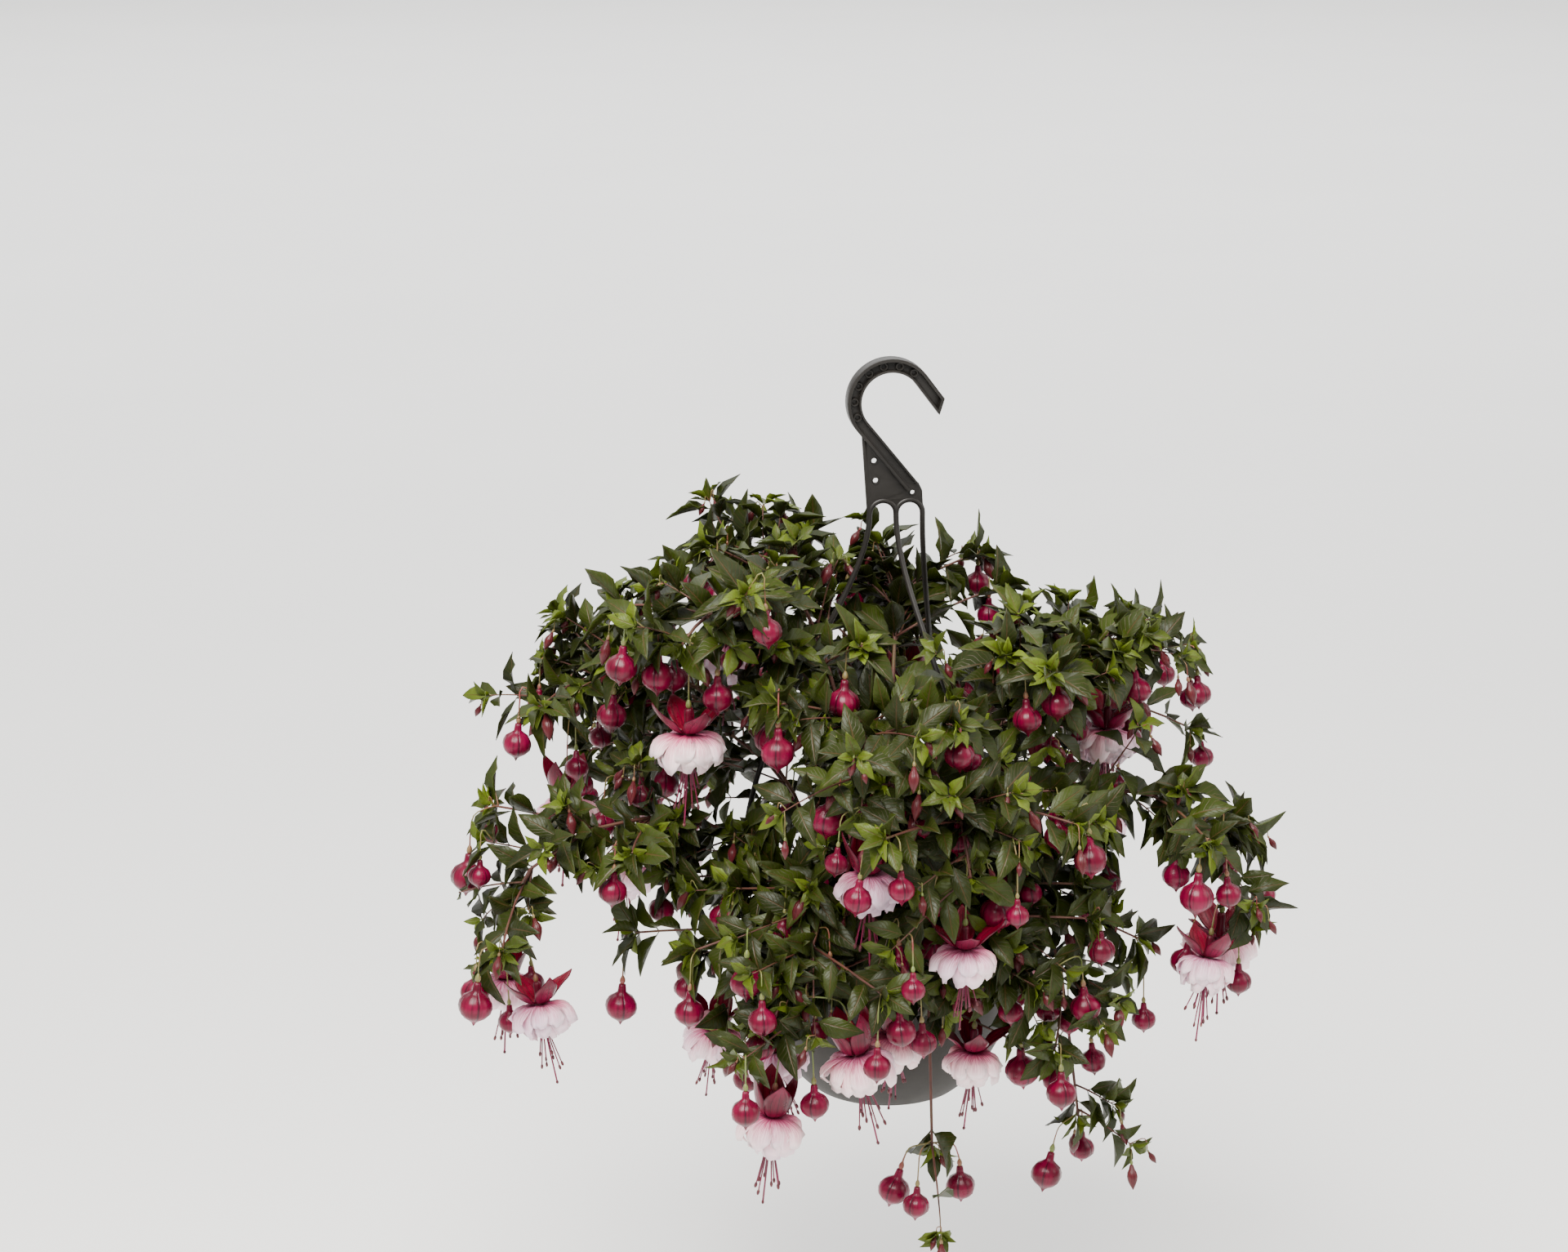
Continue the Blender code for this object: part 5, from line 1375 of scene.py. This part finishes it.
def lay_stamens(name, seed):
    """Eight filaments and the style as one piece of threads, and their anthers with the style's knob as a
    second piece.
    """
    stamen_draw = random.Random(seed)
    runs = []
    anthers = []
    for k in range(filament_count + 1):
        angle = 2 * math.pi * k / filament_count + stamen_draw.uniform(-0.2, 0.2)
        style = k == filament_count
        length = 0.078 if style else stamen_draw.uniform(0.046, 0.064)
        spread = 0.004 if style else stamen_draw.uniform(0.006, 0.014)
        out = Vector((math.cos(angle), math.sin(angle), 0))
        points = [out * 0.0016 + Vector((0, 0, corolla_top + 0.001))]
        points += [out * spread * share + Vector((0, 0, corolla_top - length * drop))
                   for share, drop in ((0.35, 0.45), (0.75, 0.80), (1.0, 1.0))]
        radii = [0.0009, 0.0008, 0.0008, 0.0009] if style else [0.00075, 0.00070, 0.00065, 0.00060]
        runs.append((points, radii))
        radius, stretch = (0.0015, 1.2) if style else (0.0014, 1.9)
        anthers.append((points[-1], radius, stretch, points[-1] - points[-2]))
    threads = reeds(name, runs, sides=1)
    heads = []
    for spot, radius, stretch, along in anthers:
        bpy.ops.object.select_all(action="DESELECT")
        bpy.ops.mesh.primitive_uv_sphere_add(segments=8, ring_count=5, radius=radius)
        head = bpy.context.object
        for vert in head.data.vertices:
            vert.co.x *= 0.8 + 0.2 * (abs(vert.co.y) / radius)
        head.data.transform(Matrix.Translation(spot) @ along.to_track_quat("Z", "Y").to_matrix().to_4x4()
                            @ Matrix.Diagonal((1, 1, stretch, 1)))
        head.data.shade_smooth()
        heads.append(head)
    return threads, join(heads, "anthers")


corolla_shapes = [lay_corolla("full", fullness=1.12, seed=3), lay_corolla("narrow", fullness=0.95, seed=4),
                  lay_corolla("loose", fullness=1.14, seed=5), lay_corolla("neat", fullness=0.98, seed=6)]
stamen_shapes = [lay_stamens("threads", seed) for seed in (1, 2, 3)]
petal_skin = Finish("petal_skin", 0.55)
petal_uv = petal_skin.node("TexCoord").outputs["UV"]
down_petal = petal_skin.node("SeparateXYZ", Vector=petal_uv).outputs[1]
vein_map = petal_skin.node("Mapping", {"Scale": (26.0, 2.2, 1.0)}, Vector=petal_uv)
vein_noise = petal_skin.noise(1.0, 3.0, vein_map.outputs[0])
vein_line = petal_skin.node("MapRange", {"From Min": 0.47, "From Max": 0.56}, Value=vein_noise)
fade = petal_skin.fall(down_petal, 0.12, 0.85, 0.95)
vein_share = petal_skin.math("MULTIPLY", vein_line.outputs[0], fade)
blush = petal_skin.ramp(down_petal, [(0.02, (0.480, 0.010, 0.100)), (0.22, (0.760, 0.250, 0.350)),
                                     (0.50, (0.900, 0.560, 0.590)), (1.00, (0.950, 0.740, 0.750))])
lilac_share = petal_skin.node("MapRange", {"From Min": 0.42, "From Max": 0.62, "To Max": 0.55},
                              Value=petal_skin.noise(9.0, 2.0))
lilac = petal_skin.mix(lilac_share.outputs[0], blush, (0.740, 0.500, 0.720))
petal_skin.colour(petal_skin.mix(vein_share, lilac, (0.420, 0.006, 0.110)))
petal_skin.bump(vein_noise, 0.30, 0.0006)
petal_skin.shader.inputs["Subsurface Weight"].default_value = 0.25
petal_skin.shader.inputs["Subsurface Radius"].default_value = (0.004, 0.002, 0.002)
petal_skin.shader.inputs["Subsurface Scale"].default_value = 0.5
thread_skin = Finish("thread_skin", 0.42)
thread_mottle = thread_skin.noise(50.0)
thread_skin.colour(thread_skin.ramp(thread_mottle, [(0.35, (0.110, 0.0003, 0.022)),
                                                    (0.65, (0.180, 0.001, 0.045))]))
anther_skin = Finish("anther_skin", 0.75)
pollen = anther_skin.noise(300.0)
anther_skin.colour(anther_skin.ramp(pollen, [(0.35, (0.050, 0.010, 0.016)), (0.60, (0.110, 0.022, 0.028)),
                                             (0.80, (0.280, 0.150, 0.100))]))
anther_skin.bump(anther_skin.noise(2200.0), 0.6, 0.0004)
blooms = [flower for flowers in plant.flowers for flower in flowers.values() if flower[0] == "bloom"]
for number, (_, _, place, _) in enumerate(blooms):
    shape = corolla_shapes[number % 4]
    threads, heads = stamen_shapes[number % 3]
    for source, name, finish in ((shape, "petals", petal_skin), (threads, "stamens", thread_skin),
                                 (heads, "anthers", anther_skin)):
        mesh = source.data.copy()
        mesh.transform(place)
        piece = bring_in("%s_%02d" % (name, number + 1), mesh)
        dress(piece, finish)
        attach(piece, "root")
        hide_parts("corolla_%02d" % (number + 1))
for shape in corolla_shapes + [piece for pair in stamen_shapes for piece in pair]:
    bpy.data.objects.remove(shape)

# ------------------------------------------------------------------ floor, light and camera
# A plain pale floor far below the basket, soft light from a large panel above the front, a weak one at the
# side and a wide one over the far floor, and the camera a little above the basket, looking slightly down.
floor_z = -1.05
bpy.ops.object.select_all(action="DESELECT")
bpy.ops.mesh.primitive_plane_add(size=30, location=(0, 0, floor_z))
floor = bpy.context.object
floor.name = "floor"
floor_paint = Finish("floor_paint", 0.9)
floor_mottle = floor_paint.noise(1.5)
floor_paint.colour(floor_paint.ramp(floor_mottle, [(0.3, (0.93, 0.93, 0.92)), (0.7, (0.95, 0.95, 0.94))]))
dress(floor, floor_paint)
world = bpy.data.worlds.new("soft_daylight")
world.use_nodes = True
daylight = world.node_tree.nodes["Background"]
daylight.inputs["Color"].default_value = (1.0, 0.985, 0.96, 1.0)
daylight.inputs["Strength"].default_value = 0.80
bpy.context.scene.world = world
basket_middle = (0, 0, -0.35)
warm = (1.0, 0.97, 0.92)
neutral = (1.0, 1.0, 1.0)
for name, spot, aim, size, power, tint in (
        ("sky_panel", (-0.9, -1.6, 2.2), basket_middle, 2.0, 290.0, warm),
        ("side_panel", (2.4, -0.6, 0.9), basket_middle, 1.8, 40.0, warm),
        ("floor_panel", (1.0, 8.5, 4.0), (1.0, 8.5, -1.0), 12.0, 1100.0, neutral)):
    light = bpy.data.lights.new(name, "AREA")
    light.shape = "SQUARE"
    light.size = size
    light.energy = power
    light.color = tint
    lamp = bring_in(name, light)
    lamp.location = spot
    lamp.rotation_euler = (Vector(aim) - Vector(spot)).to_track_quat("-Z", "Y").to_euler()
yaw = math.radians(9)
tilt = math.radians(74)
standoff = 3.015
sideways = -0.094
eye_height = 0.631
forward = Vector((math.sin(yaw), math.cos(yaw), 0.0))
right = Vector((math.cos(yaw), -math.sin(yaw), 0.0))
lens = bpy.data.cameras.new("camera")
lens.lens = 80
lens.sensor_width = 36
camera = bring_in("camera", lens)
camera.location = forward * -standoff + right * sideways + Vector((0, 0, eye_height))
camera.rotation_euler = (tilt, 0.0, -yaw)
bpy.context.scene.camera = camera
